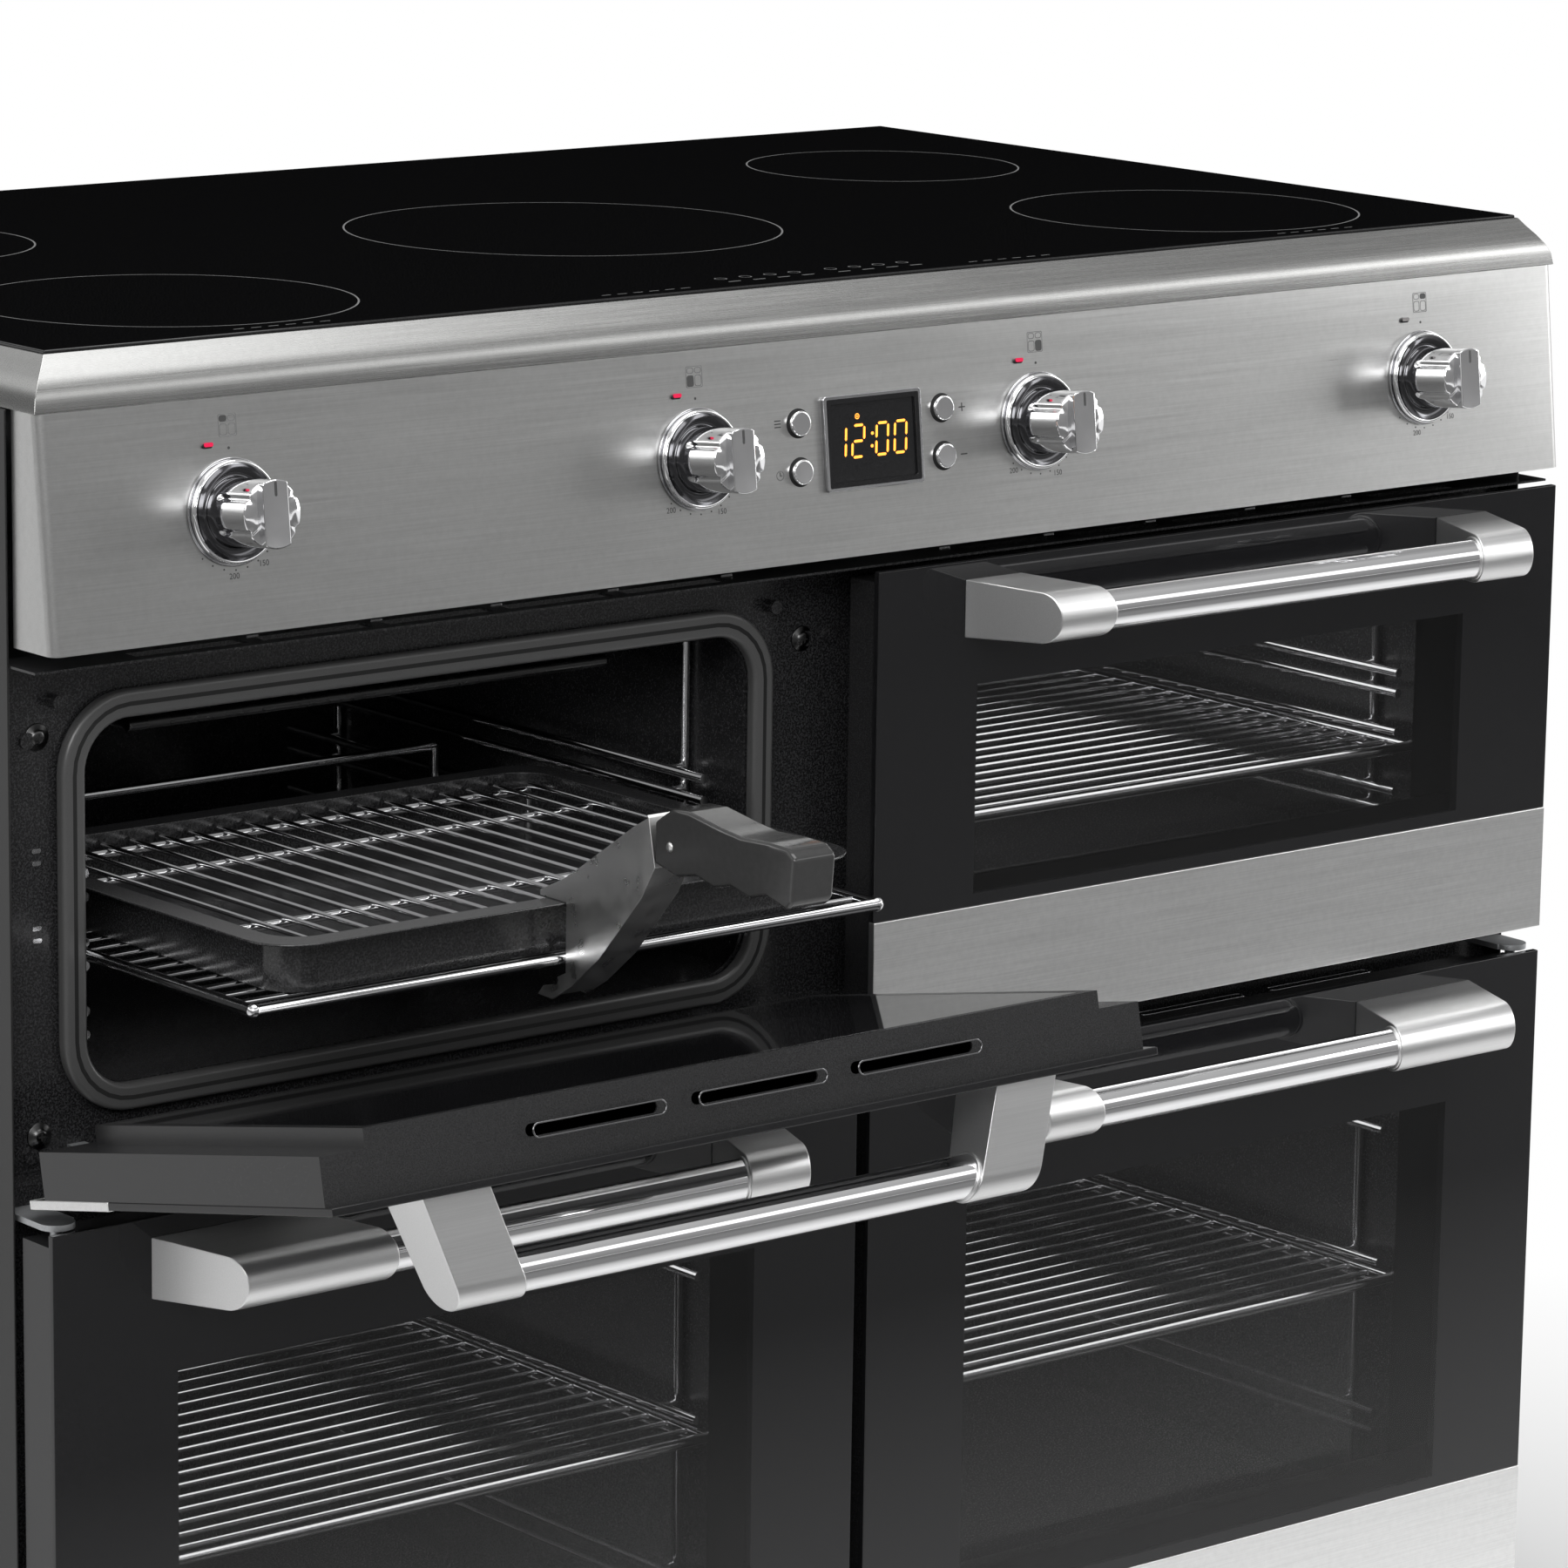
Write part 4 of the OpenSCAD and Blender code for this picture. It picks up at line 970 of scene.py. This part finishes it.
@dataclass
class KnobSet:
    """The four control knobs: dished skirt, fluted body and a raised bar grip."""

    shop: Workshop
    places: tuple = (("grill_knob", -392.5), ("left_oven_knob", -112.7),
                     ("right_oven_knob", 112.7), ("top_oven_knob", 392.5))
    v: float = 58.24
    skirt: float = 24.7
    body: float = 16.4
    reach: float = 37.3
    bar_half: float = 7.2
    flutes: tuple = (31, 149, 211, 329)
    flute_half: float = 10.0
    flute_deep: float = 1.4

    def build(self) -> None:
        """Make each knob."""
        for node, x in self.places:
            self.knob(node, x)

    def profile(self, top: float) -> np.ndarray:
        """Radius and height from the back of the skirt, over the body's side, to its cap."""
        skirt, body = self.skirt, self.body
        rim = np.array([[0, 1.8], [skirt - 0.4, 1.8], [skirt, 2.2], [skirt, 3.6],
                        [skirt - 0.3, 4.3], [skirt - 0.9, 4.7], [skirt - 1.6, 4.5],
                        [skirt - 2.6, 3.5], [body + 3.2, 2.6], [body + 1.4, 2.5],
                        [body + 0.5, 2.8], [body + 0.12, 3.6]])
        side = np.stack([np.linspace(body, body - 0.35, 24), np.linspace(4.4, top - 0.8, 24)], -1)
        cap = np.array([[body - 0.6, top - 0.3], [body - 1.1, top], [body - 6, top + 0.25],
                        [body - 12, top + 0.4], [0, top + 0.45]])
        return np.concatenate([rim, side, cap])

    def hollows(self, profile: np.ndarray, turns: int) -> np.ndarray:
        """How far each point of the body is sunk: a narrow cosine hollow at each flute.

        Args:
            profile: Rows of radius and height.
            turns: Steps round the axis.

        Returns:
            The change of radius, one row for each profile point.
        """
        angle = np.degrees(np.linspace(0, 2 * math.pi, turns, endpoint=False))[None]
        hollow = np.zeros((1, turns))
        for flute in self.flutes:
            near = np.clip(np.abs((angle - flute + 180) % 360 - 180) / self.flute_half, 0, 1)
            hollow = hollow + 0.5 * (1 + np.cos(near * math.pi))
        radius, height = profile[:, :1], profile[:, 1:]
        along = np.clip((height - 9) / 3, 0, 1) * (radius > self.body - 1.4)
        return -self.flute_deep * hollow * (along * (radius <= self.body + 0.01))

    def knob(self, node: str, x: float) -> None:
        """One knob: a turned profile with flutes, a bar across its cap and a marker line.

        Args:
            node: The CAD node that it stands for.
            x: Its place along the panel.
        """
        top = self.reach - 3.6
        profile, turns = self.profile(top), 240
        points, faces = revolve(profile, turns, self.hollows(profile, turns))

        def place(u: np.ndarray, w: np.ndarray, out: np.ndarray) -> np.ndarray:
            """Knob coordinates to the frame."""
            return self.shop.datum.on_panel(x + u, self.v + w, out)

        placed = place(points[:, 0], points[:, 2], points[:, 1])
        piece = self.shop.add(node + "_body", (placed, faces), node, CHROME)
        self.tidy(piece)
        piece.data.materials.append(self.shop.palette.get(DISH))
        spots = np.zeros(len(piece.data.polygons) * 3)
        piece.data.polygons.foreach_get("center", spots)
        away = self.off_axis(spots.reshape(-1, 3), x)
        dish = (away < self.skirt - 1.9) & (away > self.body + 0.3)
        piece.data.polygons.foreach_set("material_index", dish.astype(np.int32))
        self.shop.stand_for(piece, node)
        half = math.asin(self.bar_half / self.body)
        arc = np.linspace(math.pi / 2 - half, math.pi / 2 + half, 14)
        end = (self.body - 0.1) * np.stack([np.cos(arc), np.sin(arc)], -1)
        outline = np.concatenate([end, -end])
        bar = self.shop.add(node + "_grip", prism(outline, place, top - 1.0, self.reach), node,
                            CHROME, False)
        self.tidy(bar)
        self.shop.round_edges(bar, 0.7, 4)
        mark = rounded(-0.75, 8.4, 0.75, 15.4, 0.7, 4)
        self.shop.add(node + "_marker", prism(mark, place, self.reach - 0.3, self.reach + 0.06),
                      node, INK, False)

    def off_axis(self, spots: np.ndarray, x: float) -> np.ndarray:
        """Distance of points in the frame from a knob's axis.

        Args:
            spots: Points in metres.
            x: The knob's place along the panel.

        Returns:
            The distances in millimetres.
        """
        heart = self.shop.datum.on_panel(x, self.v, 0.0)
        out = self.shop.datum.on_panel(x, self.v, 1.0) - heart
        out = out / np.linalg.norm(out)
        gap = spots - heart
        return np.linalg.norm(gap - (gap @ out)[:, None] * out, axis=1) / MM

    @staticmethod
    def tidy(piece: bpy.types.Object) -> None:
        """Merge doubles at the poles and turn all faces outwards."""
        form = bmesh.new()
        form.from_mesh(piece.data)
        bmesh.ops.remove_doubles(form, verts=form.verts, dist=1e-7)
        bmesh.ops.recalc_face_normals(form, faces=form.faces)
        form.to_mesh(piece.data)
        form.free()


@dataclass
class Fascia:
    """The control panel: steel, bezels, lenses, buttons, clock digits and symbols."""

    shop: Workshop
    knob_x: tuple = (-392.5, -112.7, 112.7, 392.5)
    v: float = 58.24
    lit: tuple = (True, True, True, False)
    filled: tuple = ((0, 1), (0, 0), (1, 0), (1, 1))
    lamp: tuple = (-11.4, 32.6)
    icon: tuple = (0.3, 41.0)
    dot: tuple = (0.3, 30.2)
    dial_r: float = 30.4
    dials: tuple = (("150", -58), ("200", -92), ("150", -64), ("200", -128), ("150", -67),
                    ("200", -127), ("150", -49), ("200", -101))
    dots: tuple = (27.5, -48, -14, 7)
    button: tuple = (47.5, 12.3)
    clock_rims: tuple = ((30.4, 22.5), (27.9, 20.0))
    digit: tuple = (3.8, 8.0, 0.68)
    digits_at: tuple = (("1", -21.8), ("2", -9.8), ("0", 6.0), ("0", 18.2))
    digit_lean: float = 0.09
    bell: tuple = (-9.8, 12.8)

    def place(self, u: np.ndarray, w: np.ndarray, out: np.ndarray) -> np.ndarray:
        """Panel coordinates to the frame."""
        return self.shop.datum.on_panel(u, w, out)

    def build(self) -> None:
        """Finish the nodes and add the printed and lit details."""
        self.shop.dress("control_panel", STEEL, 0.0, angle=40)
        self.shop.dress("panel_bezels", BEZEL, 0.5)
        self.shop.dress("display_lenses", BLACK_GLASS, 0.2)
        for node in ("function_button", "clock_button", "plus_button", "minus_button"):
            self.shop.dress(node, CHROME, 0.5, 3)
        self.collars()
        rims = [rounded(-w, self.v - h, w, self.v + h, 1.0) for w, h in self.clock_rims]
        self.shop.add("clock_border", band(*rims, self.place, 2.43), "cooker", BLACK_GLASS)
        self.lenses()
        self.digits()
        self.symbols()
        self.figures()

    def ink(self, x0: float, y0: float, x1: float, y1: float, r: float, steps: int,
            high: float = 0.08) -> Shape:
        """A printed or raised mark on the panel, a rounded rectangle.

        Args:
            x0: Left edge.
            y0: Low edge.
            x1: Right edge.
            y1: High edge.
            r: Corner radius.
            steps: Points in each corner.
            high: Its thickness.

        Returns:
            Points and faces.
        """
        return prism(rounded(x0, y0, x1, y1, r, steps), self.place, 0.0, high)

    def collars(self) -> None:
        """A flat dark ring round each button, where it goes into the panel: painted shade of the
        gap.
        """
        circle = ring_of(32)
        dx, dv = self.button
        # painted shade: a near-black ring laid on the panel's face round each button
        parts = [band(circle * 7.6 + [x, self.v + w], circle * 6.2 + [x, self.v + w], self.place,
                      0.05) for x in (-dx, dx) for w in (-dv, dv)]
        self.shop.add("button_gap_shade", merge(parts), "cooker", GAP_SHADE, False)

    def lenses(self) -> None:
        """Caps of the four indicator lamps, lit but for the last."""
        for n, (x, on) in enumerate(zip(self.knob_x, self.lit)):
            u, w = x + self.lamp[0], self.v + self.lamp[1]
            outline = rounded(u - 2.6, w - 1.0, u + 2.6, w + 1.0, 0.9, 5)
            self.shop.add(f"lamp_{n + 1}", prism(outline, self.place, 0.5, 0.95), "cooker",
                          LAMP_ON if on else LAMP_OFF, False)

    def digits(self) -> None:
        """The clock's figures as seven-bar digits, each bar a slanted lozenge."""
        bars = {"a": (0, 1, 0), "b": (1, 0.5, 1), "c": (1, -0.5, 1), "d": (0, -1, 0),
                "e": (-1, -0.5, 1), "f": (-1, 0.5, 1), "g": (0, 0, 0)}
        shapes = {"1": "bc", "2": "abged", "0": "abcdef"}
        wide, high, thick = self.digit
        lit = (1.1, 1.3)
        parts = []
        for digit, cx in self.digits_at:
            for bx, by, upright in (bars[key] for key in shapes[digit]):
                long = (high - 1.3) / 2 if upright else wide - 0.75
                ends = np.array([[-long, 0], [-long + thick, thick], [long - thick, thick],
                                 [long, 0], [long - thick, -thick], [-long + thick, -thick]])
                if upright:
                    ends = ends[:, ::-1] * [1, -1]
                ends = ends + [bx * wide, by * high]
                ends = ends + np.stack([ends[:, 1] * self.digit_lean, np.zeros(6)], -1)
                parts.append(prism(ends + [cx, self.v + 0.2], self.place, *lit))
        for dy in (-3.2, 3.2):
            dot = rounded(-0.9, dy - 0.8, 0.9, dy + 0.8, 0.7, 4)
            parts.append(prism(dot + [-0.6 + dy * self.digit_lean, self.v + 0.2], self.place, *lit))
        circle, middle = ring_of(24), [self.bell[0], self.v + self.bell[1]]
        for outer, inner in ((1.5, 1.0), (0.5, 0.01)):
            parts.append(band(circle * outer + middle, circle * inner + middle, self.place, 1.25))
        self.shop.add("clock_digits", merge(parts), "cooker", AMBER, False)

    def symbols(self) -> None:
        """Oven symbols of two by two cells, off dots and the button signs."""
        ink, grey, v = [], [], self.v
        for x, full in zip(self.knob_x, self.filled):
            cx, cy = x + self.icon[0], v + self.icon[1]
            grey.append(self.ring(rounded(cx - 5.2, cy - 5.4, cx + 5.2, cy + 5.4, 0.8, 3), 0.35))
            for col in (0, 1):
                for row in (0, 1):
                    x0 = cx - 4.6 + col * 4.9
                    y0, y1 = (cy - 4.8, cy + 0.9) if row == 0 else (cy + 1.7, cy + 4.8)
                    if (col, row) == full:
                        ink.append(self.ink(x0, y0, x0 + 4.3, y1, 1.2, 4))
                    else:
                        grey.append(self.ring(rounded(x0, y0, x0 + 4.3, y1, 1.2, 4), 0.35))
            u, w = x + self.dot[0], v + self.dot[1]
            ink.append(self.ink(u - 0.7, w - 0.7, u + 0.7, w + 0.7, 0.65, 4))
        for x, y, plus in ((61.2, v + 11.6, True), (61.2, v - 12.6, False)):
            ink.append(self.ink(x - 2.2, y - 0.35, x + 2.2, y + 0.35, 0.2, 3))
            if plus:
                ink.append(self.ink(x - 0.35, y - 2.2, x + 0.35, y + 2.2, 0.2, 3, 0.09))
        grey.append(self.ring(ring_of(24) * 2.6 + [-60.8, v - 13], 0.5))
        ink.append(self.ink(-61.05, v - 13.2, -60.55, v - 11.2, 0.2, 3, 0.09))
        ink.append(self.ink(-61.05, v - 13.3, -59.5, v - 12.8, 0.2, 3, 0.09))
        for dy in (-1.6, 0.0, 1.6):
            ink.append(self.ink(-63.0, v + 13 + dy - 0.3, -58.8, v + 13 + dy + 0.3, 0.25, 3))
        self.shop.add("panel_symbols", merge(ink), "cooker", INK, False)
        self.shop.add("panel_outlines", merge(grey), "cooker", GREY_INK, False)

    def ring(self, outline: np.ndarray, width: float) -> Shape:
        """A printed line that follows an outline, drawn towards its middle.

        Args:
            outline: Rows of two panel coordinates.
            width: The line's width.

        Returns:
            Points and faces.
        """
        middle = outline.mean(0)
        away = outline - middle
        length = np.linalg.norm(away, axis=1, keepdims=True)
        return band(outline, middle + away * (1 - width * 1.3 / length), self.place, 0.05)

    def figures(self) -> None:
        """Temperature figures with their dots round each knob."""
        parts = []
        for n, (text, turn) in enumerate(self.dials):
            x, a = self.knob_x[n // 2], math.radians(turn)
            flat, faces = glyphs(text, 2.9)
            u = x + self.dial_r * math.cos(a) + flat[:, 0]
            w = self.v + self.dial_r * math.sin(a) + flat[:, 1]
            parts.append((self.place(u, w, np.full(len(flat), 0.06)), faces))
        radius, first, step, count = self.dots
        for x in self.knob_x:
            for k in range(count):
                a = math.radians(first + k * step)
                cx, cy = x + radius * math.cos(a), self.v + radius * math.sin(a)
                parts.append(self.ink(cx - 0.45, cy - 0.45, cx + 0.45, cy + 0.45, 0.4, 3, 0.07))
        self.shop.add("dial_figures", merge(parts), "cooker", INK, False)


@dataclass
class Door:
    """One oven door: enamelled pan, printed glass, steel band and bar handle."""

    shop: Workshop
    name: str
    side: Side
    low: float
    high: float
    tilted: bool = False
    long: float = 38.2
    bar_r: float = 10.75
    slant: float = 0.33
    open_angle: float = 78.2
    hinge: tuple = (12.5, 9.6)
    window_x: tuple = (72, 428)
    window_low: float = 75.2
    bar_at: tuple = (-43.0, 24.7)
    brackets: tuple = (62.6, 442.8)
    bracket_long: float = 38.2
    slots: tuple = (250, 96, 38.3)
    slot_depth: tuple = (17.7, 24.3)

    def to_frame(self, x: np.ndarray, depth: np.ndarray, up: np.ndarray) -> np.ndarray:
        """Door coordinates to the frame, turned about the hinge if the door stands open.

        Args:
            x: Distance from the cooker's middle.
            depth: Distance behind the outer glass.
            up: Height above the door's bottom edge.

        Returns:
            Points in metres.
        """
        x, depth, up = np.broadcast_arrays(x, depth, up)
        y, z = depth - self.hinge[0], up - self.hinge[1]
        if self.tilted:
            a = math.radians(self.open_angle)
            y, z = y * math.cos(a) - z * math.sin(a), y * math.sin(a) + z * math.cos(a)
        y = y + self.hinge[0] + self.shop.datum.front
        z = z + self.hinge[1] + self.low
        return np.stack([x * self.side.value, y, z], -1) * MM

    def build(self) -> None:
        """Finish the door's nodes and make its bar."""
        window = None
        if not self.tilted:
            xs = sorted(self.side.value * x * MM for x in self.window_x)
            drop = 65.2 if self.high - self.low < 300 else 77.6
            window = (*xs, (self.low + self.window_low) * MM, (self.high - drop) * MM)
        glass = PrintedGlass(self.name + "_glass", window)
        self.shop.dress(self.name + "_frame", DOOR_ENAMEL, 0.7)
        self.shop.dress(self.name + "_glass", glass, 0.5)
        self.shop.dress(self.name + "_band", BAND, 0.5)
        self.shop.dress(self.name + "_brackets", SATIN, 0.6, 3)
        self.bar()
        self.lips()

    def lips(self) -> None:
        """The rolled lip round each vent slot in the door's top edge, in a grey metal lighter than
        the door's enamel: a painted highlight on a real lip.
        """
        centre, pitch, half = self.slots
        parts = []
        for middle in (centre - pitch, centre, centre + pitch):
            edge = rounded(middle - half, self.slot_depth[0], middle + half, self.slot_depth[1],
                           3.29)
            path = self.to_frame(edge[:, 0], edge[:, 1], np.full(len(edge), self.high - self.low))
            parts.append(tube(path, 0.5 * MM, 8, True))
        self.shop.add(self.name + "_slot_lips_painted_highlight", merge(parts), self.name, LIP_WITH_PAINTED_HIGHLIGHT)

    def bar(self) -> None:
        """The chrome bar, and a thin collar where it enters each slanted bracket face."""
        depth, drop = self.bar_at
        height = self.high - self.low - drop
        inner = self.brackets[0] + self.bracket_long
        outer = self.brackets[1] - self.long
        x = np.linspace(inner - 15.5, outer + 15.5, 24)
        path = self.to_frame(x, np.full(24, depth), np.full(24, height))
        bar = self.shop.add(self.name + "_bar_tube", tube(path, (self.bar_r - 0.02) * MM, 72),
                            self.name, CHROME)
        self.shop.stand_for(bar, self.name + "_bar")
        self.shop.keep_crisp(bar, 40)
        circle = ring_of(64) * (self.bar_r + 0.35) + [depth, height]
        parts = []
        for face, way in ((inner, 1), (outer, -1)):
            x = face - way * self.slant * circle[:, 0] + way * 0.5
            parts.append(tube(self.to_frame(x, circle[:, 0], circle[:, 1]), 0.8 * MM, 8, True))
        self.shop.add(self.name + "_collars", merge(parts), self.name, SATIN)


@dataclass
class GrillSet:
    """The wire shelves, and the pan, rack and lift-off handle of the grill."""

    shop: Workshop
    rivet_at: tuple = (-250, 12.5, -167, 671)

    def build(self) -> None:
        """Finish the nodes and add the rivets."""
        for node in ("grill_shelf", "grill_rack", "top_oven_shelf", "left_oven_shelf",
                     "right_oven_shelf"):
            self.shop.dress(node, WIRE, 0.0, angle=50)
        self.shop.dress("grill_pan", PAN, 0.5)
        self.shop.dress("pan_handle_bracket", POLISHED, 0.3)
        self.shop.dress("pan_handle_grip", GRIP, 2.4, 4)
        self.rivets()

    def rivets(self) -> None:
        """A domed rivet on each side of the grip."""
        d = self.shop.datum
        profile = np.array([[0.0, 0.9], [1.2, 0.8], [2.2, 0.4], [2.6, 0.0], [0.0, 0.0]])
        dome, faces = revolve(profile, 20)
        x, half, y, z = self.rivet_at
        parts = []
        for way in (-1, 1):
            placed = np.stack([x + way * (half + dome[:, 1]), d.front + y + dome[:, 0],
                               z + dome[:, 2]], -1)
            parts.append((placed * MM, faces))
        self.shop.add("grip_rivets", merge(parts), "pan_handle", POLISHED)


@dataclass
class Studio:
    """Floor, backdrop, lamps and camera."""

    shop: Workshop
    eye: tuple = (-2084.76, -2468.14, 1318.96)
    yaw: float = 39.41
    pitch: float = 11.87
    roll: float = 0.80
    lens: float = 147.60
    room: float = 0.7
    away: tuple = (0.62, 0.78, 0.0)
    boxes: tuple = (("key", (-2.6, -2.4, 2.6), (0, 0, 0.6), (1.8, 1.8), 62),
                    ("fill", (3.2, -1.5, 1.6), (0.2, 0, 0.6), (1.2, 1.8), 36),
                    ("top", (0.0, -0.6, 3.2), (0, 0, 0.6), (2.6, 1.6), 46))
    glows: tuple = (("grill_glow", -0.25, 0.70, 0.08), ("top_glow", 0.25, 0.70, 0.5),
                    ("left_glow", -0.25, 0.44, 0.45), ("right_glow", 0.25, 0.44, 0.45))
    half_floor: float = 30.0
    under: float = -0.0005

    def build(self) -> None:
        """Make the stage."""
        self.camera()
        self.world()
        self.floor()
        self.lamps()
        bpy.context.scene.view_settings.view_transform = "Standard"

    def camera(self) -> None:
        """The camera, aimed by its yaw, pitch and roll."""
        data = bpy.data.cameras.new("view")
        data.lens = self.lens
        data.sensor_width = 36
        data.clip_end = 50
        piece = bpy.data.objects.new("view", data)
        bpy.context.scene.collection.objects.link(piece)
        y, p, r = (math.radians(a) for a in (self.yaw, self.pitch, self.roll))
        ahead = Vector((math.sin(y) * math.cos(p), math.cos(y) * math.cos(p), -math.sin(p)))
        right = Vector((math.cos(y), -math.sin(y), 0))
        up = right.cross(ahead)
        across = right * math.cos(r) + up * math.sin(r)
        over = up * math.cos(r) - right * math.sin(r)
        turn = Matrix((across, over, -ahead)).transposed().to_4x4()
        eye = Vector((self.eye[0], self.eye[1] + self.shop.datum.front, self.eye[2])) * MM
        piece.matrix_world = Matrix.Translation(eye) @ turn
        bpy.context.scene.camera = piece

    def world(self) -> None:
        """A room that is white to the camera, and dark towards the back to everything else.

        Its light grows with height, with a brighter strip at a middle height.
        """
        world = bpy.data.worlds.new("studio")
        world.use_nodes = True
        bpy.context.scene.world = world
        tree = world.node_tree
        tree.nodes.clear()

        def add(kind: str, values: dict, **settings) -> bpy.types.Node:
            """Add a node, feeding its numbered inputs."""
            node = tree.nodes.new(kind)
            for key, value in settings.items():
                setattr(node, key, value)
            for n, value in values.items():
                if isinstance(value, bpy.types.NodeSocket):
                    tree.links.new(value, node.inputs[n])
                else:
                    node.inputs[n].default_value = value
            return node

        path = add("ShaderNodeLightPath", {})
        direction = add("ShaderNodeTexCoord", {}).outputs["Generated"]
        parts = add("ShaderNodeSeparateXYZ", {0: direction})
        rise = add("ShaderNodeMapRange", {0: parts.outputs[2], 1: -0.1, 2: 0.9, 3: 0.28, 4: 0.8})
        ahead = add("ShaderNodeVectorMath", {0: direction, 1: self.away},
                    operation="DOT_PRODUCT")
        back = add("ShaderNodeMapRange", {0: ahead.outputs[1], 1: 0.35, 2: 0.80, 3: 1.0,
                                          4: 0.004})
        high = add("ShaderNodeMapRange", {0: parts.outputs[2], 1: 0.45, 2: 0.80, 3: 0.0, 4: 1.0})
        keep = add("ShaderNodeMath", {0: back.outputs[0], 1: high.outputs[0]}, operation="MAXIMUM")
        rim = add("ShaderNodeMapRange", {0: parts.outputs[2], 1: 0.34, 2: 0.40, 3: 0.0, 4: 1.0})
        brow = add("ShaderNodeMapRange", {0: parts.outputs[2], 1: 0.52, 2: 0.58, 3: 1.0, 4: 0.0})
        strip = add("ShaderNodeMath", {0: rim.outputs[0], 1: brow.outputs[0]}, operation="MULTIPLY")
        lift = add("ShaderNodeMath", {0: strip.outputs[0], 1: 2.2, 2: rise.outputs[0]},
                   operation="MULTIPLY_ADD")
        tone = add("ShaderNodeMath", {0: lift.outputs[0], 1: keep.outputs[0]}, operation="MULTIPLY")
        room = add("ShaderNodeBackground", {0: tone.outputs[0], 1: self.room})
        white = add("ShaderNodeBackground", {0: (1, 1, 1, 1), 1: 1.0})
        under = add("ShaderNodeMath", {0: parts.outputs[2], 1: 0.0}, operation="LESS_THAN")
        shiny = add("ShaderNodeMath", {0: path.outputs["Is Glossy Ray"], 1: under.outputs[0]},
                    operation="MULTIPLY")
        clear = add("ShaderNodeMath", {0: path.outputs["Is Camera Ray"],
                                       1: path.outputs["Is Transmission Ray"]}, operation="MAXIMUM")
        seen = add("ShaderNodeMath", {0: clear.outputs[0], 1: shiny.outputs[0]},
                   operation="MAXIMUM")
        mix = add("ShaderNodeMixShader", {0: seen.outputs[0], 1: room.outputs[0],
                                          2: white.outputs[0]})
        add("ShaderNodeOutputWorld", {0: mix.outputs[0]})

    def floor(self) -> None:
        """A pale floor that fades to white behind the cooker and darkens in front of it."""
        half = self.half_floor
        corners = [(x, y, self.under) for x, y in ((-half, -half), (half, -half), (half, half),
                                                   (-half, half))]
        mesh = bpy.data.meshes.new("floor")
        mesh.from_pydata(corners, [], [[0, 1, 2, 3]])
        piece = bpy.data.objects.new("floor", mesh)
        bpy.context.scene.collection.objects.link(piece)
        n = Nodes("floor_white")
        along = n.add("ShaderNodeVectorMath", {"operation": "DOT_PRODUCT"})
        n.feed(along, 0, n.coordinates)
        n.feed(along, 1, self.away)
        path = n.add("ShaderNodeLightPath").outputs
        parts = n.add("ShaderNodeSeparateXYZ", Vector=n.coordinates).outputs
        dim = n.math("MULTIPLY", path["Is Glossy Ray"], n.spread(parts[1], 1.0, 0.0, -1.1, -0.45))
        n.look(Base_Color=n.shade(dim, (0.8, 0.8, 0.8), (0.14, 0.14, 0.14)), Roughness=0.6)
        ways = n.math("ADD", path["Is Camera Ray"], path["Is Glossy Ray"], clamp=True)
        seen = n.math("ADD", ways, path["Is Transmission Ray"], clamp=True)
        fade = n.math("MULTIPLY", seen, n.spread(along.outputs[1], 0.0, 1.0, 0.5, 1.2))
        white = n.add("ShaderNodeEmission", Color=(1, 1, 1, 1), Strength=1.0)
        n.feed(n.output, "Surface", n.blend(fade, n.shader, white).outputs[0])
        piece.data.materials.append(n.material)

    @staticmethod
    def lamp(name: str, at: tuple, size: tuple, power: float) -> bpy.types.Object:
        """A rectangular lamp that shines down until it is turned.

        Args:
            name: The lamp's name.
            at: Its place in metres.
            size: Its two sides in metres.
            power: Its power in watts.

        Returns:
            The lamp.
        """
        data = bpy.data.lights.new(name, "AREA")
        data.shape = "RECTANGLE"
        data.size, data.size_y = size
        data.energy = power
        piece = bpy.data.objects.new(name, data)
        bpy.context.scene.collection.objects.link(piece)
        piece.location = at
        return piece

    def lamps(self) -> None:
        """Large soft boxes on the left, on the right and above, and a small one in each oven."""
        for name, at, aim, size, power in self.boxes:
            piece = self.lamp(name, at, size, power)
            way = Vector(aim) - Vector(at)
            piece.rotation_euler = way.to_track_quat("-Z", "Y").to_euler()
        for name, x, z, power in self.glows:
            y = self.shop.datum.front * MM + 0.13
            self.lamp(name, (x, y, z - 0.006), (0.36, 0.20), power)


def main() -> None:
    """Build every sub-assembly in order."""
    logging.basicConfig(level=logging.INFO, format="%(name)s: %(message)s")
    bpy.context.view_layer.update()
    slots = {s["node"]: s["material_slot"] for s in frame["record"]["subparts"]}
    shop = Workshop(Datum.read(), slots=slots)
    d = shop.datum
    LOG.info("datum %s", d)
    Studio(shop).build()
    Cabinet(shop).build()
    Hob(shop).build()
    Fascia(shop).build()
    KnobSet(shop).build()
    Door(shop, "grill_door", Side.LEFT, d.up_low, d.up_top, tilted=True).build()
    Door(shop, "top_oven_door", Side.RIGHT, d.up_low, d.up_top).build()
    Door(shop, "left_oven_door", Side.LEFT, d.low_low, d.low_top, long=87.6).build()
    Door(shop, "right_oven_door", Side.RIGHT, d.low_low, d.low_top, long=87.6).build()
    GrillSet(shop).build()


if __name__ == "__main__":
    main()
